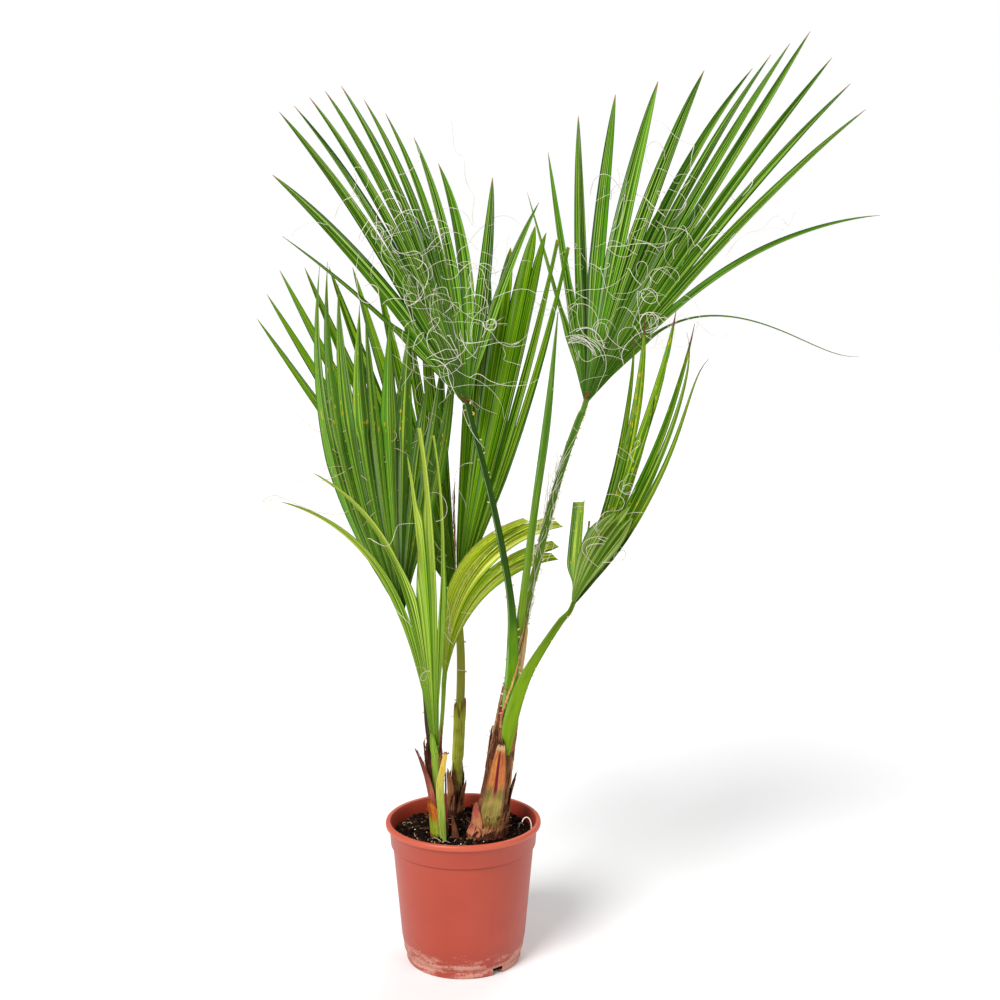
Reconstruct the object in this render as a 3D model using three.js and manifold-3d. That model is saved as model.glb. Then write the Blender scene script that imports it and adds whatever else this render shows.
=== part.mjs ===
// A young Mexican fan palm in its nursery pot: three stems from one root ball, five open fronds,
// a spear that is still closed, a pale young leaf and a pale leaf that arches over.
// Millimetres, +Z up. The origin is on the pot's axis, at the underside of its base.
import * as THREE from 'three';
import { mergeVertices } from 'three/addons/utils/BufferGeometryUtils.js';
import Module from 'manifold-3d';

const wasm = await Module();
wasm.setup();

// Pot
const potHeight = 174;
const potRimRadius = 95;
const potFootRadius = 70.5;
const potWall = 2.4;
const potSides = 48;
const rimLipHeight = 7;
const collarHeight = 24;
const footBandHeight = 9;
const drainSlotWidth = 14;
const drainSlotHeight = 9;
const drainSlotDepth = 16;
const drainSlotAngles = [-53, 127];
const rimRoll = 2.5;
const rimLedge = 6.5;
const ledgeDrop = 9;
const footRound = 2;
const footRelief = 0.5;
const bellyFoot = 15;
const bellyTop = 30;
const bellySwell = 2.2;
const collarStep = 1.6;

// Growing mix
const soilTop = 158;
const soilFloor = 3;
const soilFit = 0.4;

// Fits and fineness
const clearance = 0.3;
const limbSides = 10;
const limbStep = 26;
const bladeThickness = 0.0105;
const thinnestTip = 0.25;
const webStations = [0, 0.4, 1];
const freeStations = [0.32, 0.66, 1];
const curveTension = 0.5;

// Leaflets and blades, as shares of their own width and reach, then in millimetres
const pleatDepth = 0.1;
const cupSoftness = 0.1;
const taperPower = 0.85;
const leafletBelly = 0.45;
const cutTaper = 0.2;
const narrowestTip = 0.035;
const leafletGap = 0.26;
const leastHalfWidth = 0.14;
const neckLength = 14;
const hubSpreadReach = 6;

// Clasping leaf bases
const shieldColumns = 6;
const shieldRows = 5;
const shieldNarrowing = 0.94;
const shieldCurve = 1.6;
const shieldTipThinning = 0.5;
const shieldFit = 0.6;
const lineStep = 0.01;

// Stems: centre line and radius, from the flat cut at the soil to the crown
const stems = {
  trunk_right: {
    line: [
      [29, -12, soilTop], [33, -12, 173], [42, -10, 226], [49, -8, 275], [55, -6, 318],
      [64, -3, 367], [72, 0, 409],
    ],
    radius: [24, 19.5, 16.2, 14, 11.5, 7, 5.5],
  },
  trunk_left: {
    line: [[-27, -20, soilTop], [-28, -20, 186], [-30, -19, 229], [-32, -22, 272]],
    radius: [9, 7, 6, 5],
  },
  trunk_middle: {
    line: [[-13, 58, soilTop], [-11, 57, 180], [-9, 55, 222], [-7, 54, 259], [-5, 52, 306]],
    radius: [10, 8, 6.4, 6.3, 5.8],
  },
};

// Fronds. The hub is where the leaf stalk meets the blade, aim is the way the middle of the blade
// points, and face is the side that was the inside of the bud. Bearings are degrees from aim,
// positive to the right of someone who looks at the face. Leaflets are counted from 0 at the left.
// ribs are bearings at the hub, tips the bearings of the tips and lengths their distances. widths
// are shares of a leaflet's full width, and cuts the share of it that is left where it was cut off.
// Each of these is set for a few leaflets and runs evenly between them.
const fronds = {
  frond_right_high: {
    hub: [150, 45, 684], aim: [0.46, 0.26, 0.85], face: [-0.3, -1, 0.25],
    ribs: { 0: -42, 5: -9, 14: 22 }, tips: { 0: -42, 6: -1, 9: 4, 12: 18, 13: 34, 14: 60 },
    lengths: { 0: 285, 2: 380, 5: 465, 9: 560, 12: 495, 14: 325 },
    widths: { 0: 0.6, 2: 1, 13: 1, 14: 0.55 },
    fold: 10, arch: 0.03, bend: 2, slit: [0.28, 0.48], stalkWidth: 7,
  },
  frond_left_high: {
    hub: [5, 10, 682], aim: [-0.366, 0.2, 0.907], face: [0.25, -1, 0.2],
    ribs: { 0: -26, 2: -7, 9: 16, 12: 37 }, tips: { 0: -29, 2: -12, 8: 6, 10: 15, 12: 41 },
    lengths: { 0: 290, 2: 415, 6: 420, 8: 372, 10: 300, 12: 265 },
    widths: { 0: 0.5, 1: 1, 11: 1, 12: 0.9 },
    fold: 10, arch: 0.03, bend: 1.6, slit: [0.3, 0.5], stalkWidth: 7,
  },
  frond_middle: {
    hub: [-9, 62, 439], aim: [-0.14, 0.1, 0.985], face: [-0.2, -1, 0.12],
    ribs: { 0: -27, 9: 5, 10: 12, 16: 33 }, tips: { 0: -28, 9: 5, 10: 10, 13: 21, 16: 27 },
    lengths: { 0: 430, 2: 465, 6: 420, 9: 312, 10: 365, 13: 465, 16: 450 },
    cuts: { 12: 0, 13: 0.3, 16: 0.4 },
    fold: 8, arch: 0.03, bend: 1.3, slit: [0.36, 0.52], stalkWidth: 8, split: 10, splitAt: 18,
  },
  frond_left_low: {
    hub: [-72, -18, 438], aim: [-0.15, -0.04, 0.98], face: [-0.1, 1, 0.1],
    ribs: { 0: -30, 4: -4, 9: 34 }, tips: { 0: -29, 3: -12, 6: 0, 9: 5 },
    lengths: { 0: 352, 2: 285, 3: 342, 6: 362, 8: 416 },
    widths: { 2: 1, 3: 1.2, 5: 0.5, 6: 1, 9: 0.8 },
    fold: 33, arch: 0, bend: 0.8, slit: [0.34, 0.52], stalkWidth: 7.5,
  },
  frond_right_low: {
    hub: [132, -40, 452], aim: [0.34, 0, 0.94], face: [-0.8, -0.6, 0.25],
    ribs: { 0: -25, 1: -7, 2: 2, 8: 36 }, tips: { 0: -23, 1: -13, 3: -9, 4: -2, 8: 10 },
    lengths: { 0: 120, 1: 96, 2: 326, 4: 358, 5: 263, 6: 350, 8: 325 },
    widths: { 0: 1.1, 4: 1.1, 5: 0.5, 6: 1, 8: 0.8 }, cuts: { 0: 0.95, 1: 0.5, 2: 0 },
    fold: 8, arch: 0, bend: 1.1, slit: [0.34, 0.5], stalkWidth: 7,
  },
  frond_right_low_flap: {
    hub: [130.7, -44.5, 453], aim: [0.36, -0.36, 0.86], face: [-0.6, -0.75, 0.1],
    ribs: { 0: -20, 2: 8 }, tips: { 0: 0, 2: 9 }, lengths: { 0: 128, 1: 146, 2: 138 },
    fold: 6, arch: 0, bend: 1.2, slit: [0.7, 0.85], stalkWidth: 5,
  },
  leaf_young: {
    hub: [-33, -24, 273], aim: [-0.05, -0.04, 1], face: [0, -1, 0.05],
    ribs: { 0: -6.5, 4: 5.5 }, tips: { 0: -28, 1: -20, 2: -2, 4: 3 },
    lengths: { 0: 350, 2: 355, 3: 381, 4: 371 },
    widths: { 1: 0.8, 2: 1.1, 3: 1.1, 4: 0.7 }, cuts: { 2: 0, 3: 0.3, 4: 0.5 },
    fold: 5, arch: 0, bend: 2.4, slit: [0.5, 0.64], stalkWidth: 9,
  },
  leaf_arching: {
    hub: [-22, 8, 356], aim: [0.55, 0.17, 0.82], face: [0.1, -1, 0.3],
    ribs: { 0: -40, 5: -17 }, tips: { 0: -5, 5: 11 }, lengths: { 0: 214, 2: 220, 4: 212, 5: 190 },
    cuts: { 0: 0.8 }, fold: 5, arch: 0.03, bend: 1.65, slit: [0.72, 0.8], stalkWidth: 6,
  },
};

// Leaf stalks: centre line from the stem to just below the blade, with half the width there. A
// stalk is wider than deep and turns its flat side to the blade's face.
const stalks = {
  stalk_right_low: {
    frond: 'frond_right_low', depth: 0.55, side: [1, 0, -0.4],
    line: [
      [52, -25, 262], [55, -27, 290], [61, -28, 318], [70, -30, 346], [81, -32, 370],
      [98, -35, 399], [116, -38, 427],
    ],
    halfWidth: [6, 8.5, 8.5, 7.7, 6.4, 5.3, 4.4],
  },
  stalk_left_high: {
    frond: 'frond_left_high', depth: 0.6, side: [1, 0, 0],
    line: [
      [52, -19, 303], [56, -20, 327], [60, -16, 382], [57, -12, 454], [37, 0, 560],
    ],
    halfWidth: [5, 8.2, 7.4, 4.6, 4.1],
  },
  stalk_right_high: {
    frond: 'frond_right_high', depth: 0.75, side: [1, 0.3, 0],
    line: [[73.5, 2.5, 409.6], [78, 6, 440], [91, 14, 492], [102, 22, 538], [119, 31, 599], [140, 41, 658]],
    halfWidth: [4.2, 4.2, 4.2, 4, 3.7, 3.6],
  },
  stalk_left_low: {
    frond: 'frond_left_low', depth: 0.7, side: [-1, 0, 0],
    line: [
      [-37, -15, 246], [-39, -13, 272], [-42, -12, 298], [-45, -12, 340], [-55, -15, 389],
      [-64, -17, 417],
    ],
    halfWidth: [4.4, 4.4, 4.2, 4.2, 4.1, 3.9],
  },
  stalk_middle: {
    frond: 'frond_middle', depth: 0.8, side: [1, 0, 0],
    line: [[-5, 52, 306.4], [-4, 52, 332], [-4, 54, 367], [-6, 57, 403]],
    halfWidth: [5.4, 5.4, 5.2, 4.8],
  },
  stalk_arching: {
    frond: 'leaf_arching', depth: 0.8, side: [1, -0.3, 0],
    line: [[-29, -14.2, 262], [-26.6, -10.5, 285], [-24.5, -5, 310], [-23.5, 0, 330]],
    halfWidth: [2.6, 2.5, 2.5, 2.7],
  },
};

// The closed spear in the middle of the right stem
const spear = {
  line: [
    [68.5, -6.5, 409.6], [71, -7, 435], [86, 0, 553], [101, 8, 662], [114, 20, 790],
  ],
  halfWidth: [4.6, 4.5, 4.4, 4.6, 0.5],
  depth: 0.7,
  side: [1, 0.2, 0],
};

// Old leaf bases that clasp the stems: the stem, the way they face in degrees round it (0 is +X,
// -90 the front), their half angle, foot and tip heights, and how far the tip leans out.
const sheaths = {
  sheath_right_front: {
    stem: 'trunk_right', faces: -95, halfAngle: 74, foot: 163, tip: 272, lean: 2, thick: 2.2,
  },
  sheath_right_collar: {
    stem: 'trunk_right', faces: 100, halfAngle: 62, foot: 232, tip: 312, lean: 1.5, thick: 1.8,
  },
  sheath_right_foot: {
    stem: 'trunk_right', faces: 196, halfAngle: 30, foot: 160, tip: 202, lean: 9, thick: 2,
  },
  sheath_right_spur: {
    stem: 'trunk_right', faces: 8, halfAngle: 26, foot: 188, tip: 234, lean: 5, thick: 1.6,
  },
  sheath_left_back: {
    stem: 'trunk_left', faces: 172, halfAngle: 62, foot: 168, tip: 264, lean: 13, thick: 1.8,
  },
  sheath_left_front: {
    stem: 'trunk_left', faces: -118, halfAngle: 52, foot: 160, tip: 200, lean: 5, thick: 1.8,
  },
  sheath_left_red: {
    stem: 'trunk_left', faces: 20, halfAngle: 44, foot: 168, tip: 240, lean: 3, thick: 1.6,
  },
  sheath_middle_left: {
    stem: 'trunk_middle', faces: 196, halfAngle: 60, foot: 164, tip: 222, lean: 4, thick: 1.6,
  },
  sheath_middle_right: {
    stem: 'trunk_middle', faces: -10, halfAngle: 50, foot: 162, tip: 208, lean: 5, thick: 1.6,
  },
};

// A yellow stalk that was cut off short in front of the left stem, and a dry stub beside it
const stubs = {
  stub_yellow: {
    line: [[-24, -34, soilTop], [-25, -35, 190], [-26, -33, 232], [-21, -32, 262]],
    halfWidth: [3.6, 5.2, 5.4, 2.8], depth: 0.5, side: [1, 0, 0],
  },
  stub_dry: {
    line: [[-8, -26, soilTop], [-9, -26, 172], [-12, -25, 190]],
    halfWidth: [5, 4, 2.2], depth: 0.7, side: [1, 0.2, 0],
  },
};

const colours = {
  pot: ['#c4573f', 0.55], soil: ['#2b211c', 0.95], trunk: ['#8a6a48', 0.85], stalk: ['#5f8a3a', 0.5],
  frond: ['#4c8a38', 0.5], pale: ['#a3bf55', 0.5], sheath: ['#a2644a', 0.8], stub: ['#c8b04a', 0.6],
};

const palm = new THREE.Group();

function addPiece(name, geometry, finish) {
  const [colour, roughness] = colours[finish];
  const material = new THREE.MeshStandardMaterial({ color: colour, roughness, metalness: 0 });
  const mesh = new THREE.Mesh(geometry, material);
  mesh.name = name;
  palm.add(mesh);
}

function vector(point) {
  return new THREE.Vector3(point[0], point[1], point[2]);
}

function radians(degrees) {
  return THREE.MathUtils.degToRad(degrees);
}

function geometryFrom(points, faces) {
  const geometry = new THREE.BufferGeometry();
  const places = points.flatMap((p) => [p.x, p.y, p.z]);
  geometry.setAttribute('position', new THREE.Float32BufferAttribute(places, 3));
  geometry.setIndex(faces.flat());
  return geometry;
}

// Joining and cutting of closed shapes
function solidFrom(geometry) {
  const bare = geometry.clone();
  bare.deleteAttribute('normal');
  bare.deleteAttribute('uv');
  const merged = mergeVertices(bare, 1e-3);
  const vertProperties = Float32Array.from(merged.attributes.position.array);
  const triVerts = Uint32Array.from(merged.index.array);
  return new wasm.Manifold(new wasm.Mesh({ numProp: 3, vertProperties, triVerts }));
}

function geometryOf(solid) {
  const mesh = solid.getMesh();
  const geometry = new THREE.BufferGeometry();
  geometry.setAttribute('position', new THREE.BufferAttribute(Float32Array.from(mesh.vertProperties), 3));
  geometry.setIndex(new THREE.BufferAttribute(Uint32Array.from(mesh.triVerts), 1));
  return geometry;
}

function carve(geometry, cutters) {
  let solid = solidFrom(geometry);
  for (const cutter of cutters) solid = solid.subtract(solidFrom(cutter));
  const parts = solid.decompose().sort((a, b) => b.volume() - a.volume());
  return geometryOf(parts[0]);
}

// A closed shape through rings of points, with flat ends
function loft(rings) {
  const sides = rings[0].length;
  const points = rings.flat();
  const faces = [];
  for (let i = 0; i < rings.length - 1; i += 1) {
    for (let j = 0; j < sides; j += 1) {
      const a = i * sides + j;
      const b = i * sides + ((j + 1) % sides);
      faces.push([a, b, b + sides], [a, b + sides, a + sides]);
    }
  }
  const last = (rings.length - 1) * sides;
  for (let j = 1; j < sides - 1; j += 1) {
    faces.push([0, j + 1, j], [last, last + j, last + j + 1]);
  }
  return geometryFrom(points, faces);
}

// Values that change smoothly along a limb, one for each point of its line
function smoothAlong(values, t) {
  const stations = values.map((v) => new THREE.Vector3(v, 0, 0));
  const curve = new THREE.CatmullRomCurve3(stations, false, 'catmullrom', curveTension);
  return curve.getPoint(t).x;
}

// A tapering limb. side is the direction of its width, endAim the way its last face looks.
function limb({ line, halfWidth, depth = 1, side, sideEnd, startAim, endAim }, grow = 0) {
  const curve = new THREE.CatmullRomCurve3(line.map(vector), false, 'catmullrom', curveTension);
  const steps = Math.max(3, Math.round(curve.getLength() / limbStep));
  const rings = [];
  for (let i = 0; i <= steps; i += 1) {
    const t = i / steps;
    const centre = curve.getPoint(t);
    let ahead = curve.getTangent(t);
    if (i === 0 && startAim) ahead = startAim.clone();
    if (i === steps && endAim) ahead = endAim.clone();
    const wide = side.clone().lerp(sideEnd ?? side, t);
    wide.addScaledVector(ahead, -wide.dot(ahead)).normalize();
    const deep = new THREE.Vector3().crossVectors(ahead, wide);
    const reach = smoothAlong(halfWidth, t);
    const ring = [];
    for (let j = 0; j < limbSides; j += 1) {
      const angle = (2 * Math.PI * (j + 0.5)) / limbSides;
      const point = centre.clone();
      point.addScaledVector(wide, (reach + grow) * Math.cos(angle));
      point.addScaledVector(deep, (reach * depth + grow) * Math.sin(angle));
      ring.push(point);
    }
    rings.push(ring);
  }
  if (grow > 0) {
    const first = rings[0];
    const last = rings[rings.length - 1];
    const back = curve.getTangent(0).multiplyScalar(-grow);
    const on = curve.getTangent(1).multiplyScalar(grow);
    first.forEach((point) => point.add(back));
    last.forEach((point) => point.add(on));
  }
  return loft(rings);
}

function stemShape(name, grow = 0) {
  const { line, radius } = stems[name];
  const up = new THREE.Vector3(0, 0, 1);
  return limb({ line, halfWidth: radius, side: new THREE.Vector3(1, 0, 0), startAim: up }, grow);
}

// A sheet of points with thickness: the lower side is a copy, and walls close the open edges
function slab(points, faces, offsets) {
  const count = points.length;
  const upper = points.map((p, i) => p.clone().add(offsets[i]));
  const lower = points.map((p, i) => p.clone().sub(offsets[i]));
  const all = faces.map((f) => [...f]);
  faces.forEach(([a, b, c]) => all.push([a + count, c + count, b + count]));
  const edges = new Set(faces.flatMap(([a, b, c]) => [`${a},${b}`, `${b},${c}`, `${c},${a}`]));
  for (const edge of edges) {
    const [a, b] = edge.split(',').map(Number);
    if (!edges.has(`${b},${a}`)) all.push([b, a, a + count], [b, a + count, b + count]);
  }
  return geometryFrom([...upper, ...lower], all);
}

// A value for one leaflet, which runs evenly between the leaflets that are named
function valueAt(named, i) {
  const stations = Object.keys(named).map(Number);
  const before = stations.findLast((n) => n <= i) ?? stations[0];
  const after = stations.find((n) => n >= i) ?? stations.at(-1);
  if (before === after) return named[before];
  return THREE.MathUtils.mapLinear(i, before, after, named[before], named[after]);
}

function frameOf({ aim, face, ribs }) {
  const ahead = vector(aim).normalize();
  const normal = vector(face);
  normal.addScaledVector(ahead, -normal.dot(ahead)).normalize();
  const across = new THREE.Vector3().crossVectors(ahead, normal);
  const atHub = Object.values(ribs);
  const throat = radians((atHub[0] + atHub.at(-1)) / 2);
  const throatAhead = ahead.clone().multiplyScalar(Math.cos(throat));
  throatAhead.addScaledVector(across, Math.sin(throat));
  const throatAcross = new THREE.Vector3().crossVectors(throatAhead, normal);
  return { ahead, across, normal, throatAhead, throatAcross };
}

// A fan-shaped blade. Each rib swings from its even place at the hub to its tip's bearing. The
// leaflets are joined up to the slits between them, halfway between two ribs, and taper beyond.
function fan(frond) {
  const { hub, fold, arch, bend, slit, stalkWidth, split, splitAt } = frond;
  const { widths = { 0: 1 }, cuts = { 0: 0 } } = frond;
  const { ahead, across, normal, throatAcross } = frameOf(frond);
  const origin = vector(hub);
  const count = 1 + Number(Object.keys(frond.ribs).at(-1));
  const every = Array.from({ length: count }, (_, i) => i);
  const ribs = every.map((i) => valueAt(frond.ribs, i));
  const leaflets = every.map((i) => [
    valueAt(frond.tips, i), valueAt(frond.lengths, i), valueAt(widths, i), valueAt(cuts, i),
  ]);
  const spacing = (ribs[count - 1] - ribs[0]) / (count - 1);
  const ribBearing = (i, r) => {
    const [tip, length] = leaflets[i];
    return ribs[i] + (tip - ribs[i]) * Math.min(1, r / length) ** bend;
  };
  const slitRadius = (j) => {
    if (j === split) return splitAt;
    const left = leaflets[Math.max(0, j - 1)][1];
    const right = leaflets[Math.min(count - 1, j)][1];
    const u = (2 * j) / count - 1;
    return (slit[0] + (slit[1] - slit[0]) * (1 - u * u)) * Math.min(left, right);
  };
  const edgeBearing = (j, r) => {
    if (j === 0) return ribBearing(0, r) - spacing / 2;
    if (j === count) return ribBearing(count - 1, r) + spacing / 2;
    return (ribBearing(j - 1, r) + ribBearing(j, r)) / 2;
  };
  const place = (bearing, r, length, slot, rise) => {
    const angle = radians(bearing);
    const lift = Math.hypot(Math.sin(angle), cupSoftness) - cupSoftness;
    const nearHub = Math.max(0, 1 - r / (hubSpreadReach * stalkWidth));
    const point = origin.clone();
    point.addScaledVector(ahead, r * Math.cos(angle));
    point.addScaledVector(across, r * Math.sin(angle) * Math.cos(radians(fold)));
    point.addScaledVector(throatAcross, slot * stalkWidth * nearHub);
    const hump = 4 * arch * r * Math.max(0, 1 - r / length);
    point.addScaledVector(normal, r * lift * Math.sin(radians(fold)) + hump + rise);
    return point;
  };
  const points = [];
  const offsets = [];
  const put = (bearing, r, length, slot, rise) => {
    const share = 1 - (1 - thinnestTip) * Math.min(1, r / length);
    points.push(place(bearing, r, length, slot, rise));
    offsets.push(normal.clone().multiplyScalar((bladeThickness * length * share) / 2));
    return points.length - 1;
  };
  const pleat = (r) => pleatDepth * r * radians(spacing);
  const lastWeb = webStations.length - 1;
  const edges = [];
  for (let j = 0; j <= count; j += 1) {
    const length = Math.max(leaflets[Math.max(0, j - 1)][1], leaflets[Math.min(count - 1, j)][1]);
    edges.push(webStations.map((share) => {
      const r = share * slitRadius(j);
      return put(edgeBearing(j, r), r, length, j / count - 0.5, pleat(r));
    }));
  }
  const faces = [];
  leaflets.forEach(([, length, width, blunt], i) => {
    const sides = [i, i + 1];
    const middleSlit = (slitRadius(i) + slitRadius(i + 1)) / 2;
    const rib = webStations.map((share) => {
      const r = share * middleSlit;
      return put(ribBearing(i, r), r, length, (i + 0.5) / count - 0.5, -pleat(r));
    });
    const margins = sides.map((j) => [...edges[j]]);
    freeStations.forEach((t) => {
      const taper = (1 - t) ** taperPower * (1 + leafletBelly * t) * width;
      const share = Math.max(taper, blunt * (1 - cutTaper * t), narrowestTip);
      const onRib = middleSlit + (length - middleSlit) * t;
      rib.push(put(ribBearing(i, onRib), onRib, length, 0, -pleat(middleSlit) * share));
      sides.forEach((j, k) => {
        const start = slitRadius(j);
        const r = start + (length - start) * t;
        const atSlit = radians(Math.abs(edgeBearing(j, start) - ribBearing(i, start))) * start;
        const room = radians(Math.abs(edgeBearing(j, r) - ribBearing(i, r))) * r - leafletGap;
        const reach = Math.min(atSlit * share, Math.max(room, leastHalfWidth));
        const half = THREE.MathUtils.radToDeg(reach / r);
        const bearing = ribBearing(i, r) + (k === 0 ? -half : half);
        margins[k].push(put(bearing, r, length, 0, pleat(start) * share));
      });
    });
    for (let k = 0; k < rib.length - 1; k += 1) {
      const [left, right] = margins;
      faces.push([rib[k], rib[k + 1], left[k + 1]], [rib[k], left[k + 1], left[k]]);
      faces.push([right[k], right[k + 1], rib[k + 1]], [right[k], rib[k + 1], rib[k]]);
    }
  });
  return slab(points, faces, offsets);
}

// A clasping leaf base: a curved shield round a stem that narrows to its tip
function shield({ stem, faces: facing, halfAngle, foot, tip, lean, thick }, grow = 0) {
  const { line, radius } = stems[stem];
  const curve = new THREE.CatmullRomCurve3(line.map(vector), false, 'catmullrom', curveTension);
  const columns = shieldColumns;
  const rows = shieldRows;
  const points = [];
  const offsets = [];
  for (let i = 0; i <= rows; i += 1) {
    const v = i / rows;
    const height = foot + (tip - foot) * v;
    let t = 0;
    while (t < 1 && curve.getPoint(t).z < height) t += lineStep;
    const centre = curve.getPoint(Math.min(1, t));
    const reach = smoothAlong(radius, Math.min(1, t)) + shieldFit + thick / 2 + lean * v * v;
    const spread = halfAngle * (1 - shieldNarrowing * v ** shieldCurve) + shieldColumns * grow;
    for (let j = 0; j <= columns; j += 1) {
      const angle = radians(facing + spread * ((2 * j) / columns - 1));
      const out = new THREE.Vector3(Math.cos(angle), Math.sin(angle), 0);
      points.push(new THREE.Vector3(centre.x, centre.y, height).addScaledVector(out, reach));
      offsets.push(out.multiplyScalar((thick / 2) * (1 - shieldTipThinning * v) + grow));
    }
  }
  const faces = [];
  for (let i = 0; i < rows; i += 1) {
    for (let j = 0; j < columns; j += 1) {
      const a = i * (columns + 1) + j;
      const b = a + columns + 1;
      faces.push([a, a + 1, b + 1], [a, b + 1, b]);
    }
  }
  return slab(points, faces, offsets);
}

function wallRadius(z) {
  return potFootRadius + (potRimRadius - rimLedge + 0.5 - potFootRadius) * (z / potHeight);
}

function turned(profile) {
  const outline = profile.map(([r, z]) => new THREE.Vector2(r, z));
  return new THREE.LatheGeometry(outline, potSides).rotateX(Math.PI / 2);
}

function drainSlots(extra) {
  return drainSlotAngles.map((angle) => {
    const slot = new THREE.BoxGeometry(drainSlotDepth, drainSlotWidth + extra, 2 * drainSlotHeight + extra);
    return slot.translate(potFootRadius - extra / 2, 0, 0).rotateZ(radians(angle));
  });
}

function makePot() {
  const lipFoot = potHeight - rimLipHeight;
  const collarFoot = lipFoot - collarHeight;
  const outside = [
    [0, 0], [potFootRadius - footRound, 0], [potFootRadius - footRelief, footRound],
    [wallRadius(footBandHeight) - footRelief, footBandHeight],
    [wallRadius(bellyFoot) + collarStep, bellyFoot], [wallRadius(bellyTop) + bellySwell, bellyTop],
    [wallRadius(collarFoot) + 1, collarFoot],
    [wallRadius(collarFoot) + 1 + collarStep, collarFoot + collarStep],
    [wallRadius(lipFoot) + bellySwell, lipFoot - 1], [potRimRadius - 1, lipFoot],
    [potRimRadius, lipFoot + rimRoll], [potRimRadius, potHeight - rimRoll],
    [potRimRadius - rimRoll, potHeight], [potRimRadius - 2 * rimRoll, potHeight - footRelief],
  ];
  const inside = [
    [potRimRadius - rimLedge, potHeight - rimRoll],
    [wallRadius(potHeight) - potWall, potHeight - ledgeDrop],
    [wallRadius(soilFloor) - potWall, soilFloor], [0, soilFloor],
  ];
  return carve(turned([...outside, ...inside]), drainSlots(0));
}

function makeSoil() {
  const low = wallRadius(soilFloor) - potWall - clearance;
  const high = wallRadius(potHeight) - potWall - clearance;
  const topRadius = low + ((high - low) * (soilTop - soilFloor)) / (potHeight - ledgeDrop - soilFloor);
  const mix = turned([
    [0, soilFloor + clearance], [low - soilFit / 4, soilFloor + clearance], [topRadius - soilFit, soilTop],
    [0, soilTop],
  ]);
  return carve(mix, drainSlots(1));
}

function stalkShape({ frond, line, halfWidth, depth, side }, grow = 0) {
  const blade = fronds[frond];
  const { throatAhead, throatAcross } = frameOf(blade);
  const hub = vector(blade.hub);
  const neck = hub.clone().addScaledVector(throatAhead, -neckLength);
  const end = hub.clone().addScaledVector(throatAhead, -clearance);
  const tip = blade.stalkWidth / 2;
  return limb({
    line: [...line, neck.toArray(), end.toArray()], halfWidth: [...halfWidth, tip, tip], depth,
    side: vector(side).normalize(), sideEnd: throatAcross, endAim: throatAhead,
  }, grow);
}

addPiece('pot', makePot(), 'pot');
addPiece('soil', makeSoil(), 'soil');

const lift = (geometry) => geometry.translate(0, 0, clearance);
for (const name of Object.keys(stems)) addPiece(name, lift(stemShape(name)), 'trunk');

const grownStems = Object.keys(stems).map((name) => lift(stemShape(name, clearance)));
const grownStalks = [];
for (const [name, stalk] of Object.entries(stalks)) {
  addPiece(name, carve(stalkShape(stalk), [...grownStems, ...grownStalks]), 'stalk');
  grownStalks.push(stalkShape(stalk, clearance));
}

const spearShape = { ...spear, side: vector(spear.side).normalize() };
addPiece('spear', carve(limb(spearShape), [...grownStems, ...grownStalks]), 'stalk');

for (const [name, stub] of Object.entries(stubs)) {
  const shape = { ...stub, side: vector(stub.side).normalize(), startAim: new THREE.Vector3(0, 0, 1) };
  addPiece(name, carve(lift(limb(shape)), [...grownStems, ...grownStalks]), 'stub');
}

const grownSheaths = [];
for (const [name, sheath] of Object.entries(sheaths)) {
  addPiece(name, carve(shield(sheath), [...grownStems, ...grownStalks, ...grownSheaths]), 'sheath');
  grownSheaths.push(shield(sheath, clearance));
}

for (const [name, frond] of Object.entries(fronds)) {
  addPiece(name, fan(frond), name.startsWith('leaf') ? 'pale' : 'frond');
}

export default palm;
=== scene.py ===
import math

import bpy
import numpy as np
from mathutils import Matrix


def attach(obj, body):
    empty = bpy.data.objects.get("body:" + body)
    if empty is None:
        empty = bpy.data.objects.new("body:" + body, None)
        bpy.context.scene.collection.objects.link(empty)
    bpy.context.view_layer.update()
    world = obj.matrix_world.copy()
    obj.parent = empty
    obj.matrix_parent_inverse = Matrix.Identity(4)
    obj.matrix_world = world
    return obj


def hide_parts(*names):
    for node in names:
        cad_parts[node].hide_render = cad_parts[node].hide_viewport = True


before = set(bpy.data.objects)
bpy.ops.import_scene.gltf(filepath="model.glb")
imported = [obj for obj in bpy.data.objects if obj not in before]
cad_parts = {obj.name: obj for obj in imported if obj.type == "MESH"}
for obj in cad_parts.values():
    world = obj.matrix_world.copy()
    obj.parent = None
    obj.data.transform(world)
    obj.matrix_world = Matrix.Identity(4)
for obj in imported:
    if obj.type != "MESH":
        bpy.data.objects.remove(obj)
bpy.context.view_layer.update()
scene = bpy.context.scene
mm = 0.001
finishes = {}  # materials by name


def unit(v):
    v = np.asarray(v, float)
    return v / max(np.linalg.norm(v), 1e-9)


def mix(a, b, t):
    return a + (b - a) * t


def ease(low, high, x):
    t = min(max((x - low) / (high - low), 0), 1)
    return t * t * (3 - 2 * t)


def seeded(*numbers):
    return np.random.default_rng(numbers)


def around(angle, reach=1):
    return reach * math.cos(angle), reach * math.sin(angle)


def turns(sides):  # the angles of the corners of a ring
    return [2 * math.pi * n / sides for n in range(sides)]


def thinning(radius, loss, count):  # the radii of a strand that loses this share of its width
    return [radius * (1 - loss * n / (count - 1)) for n in range(count)]


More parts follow.
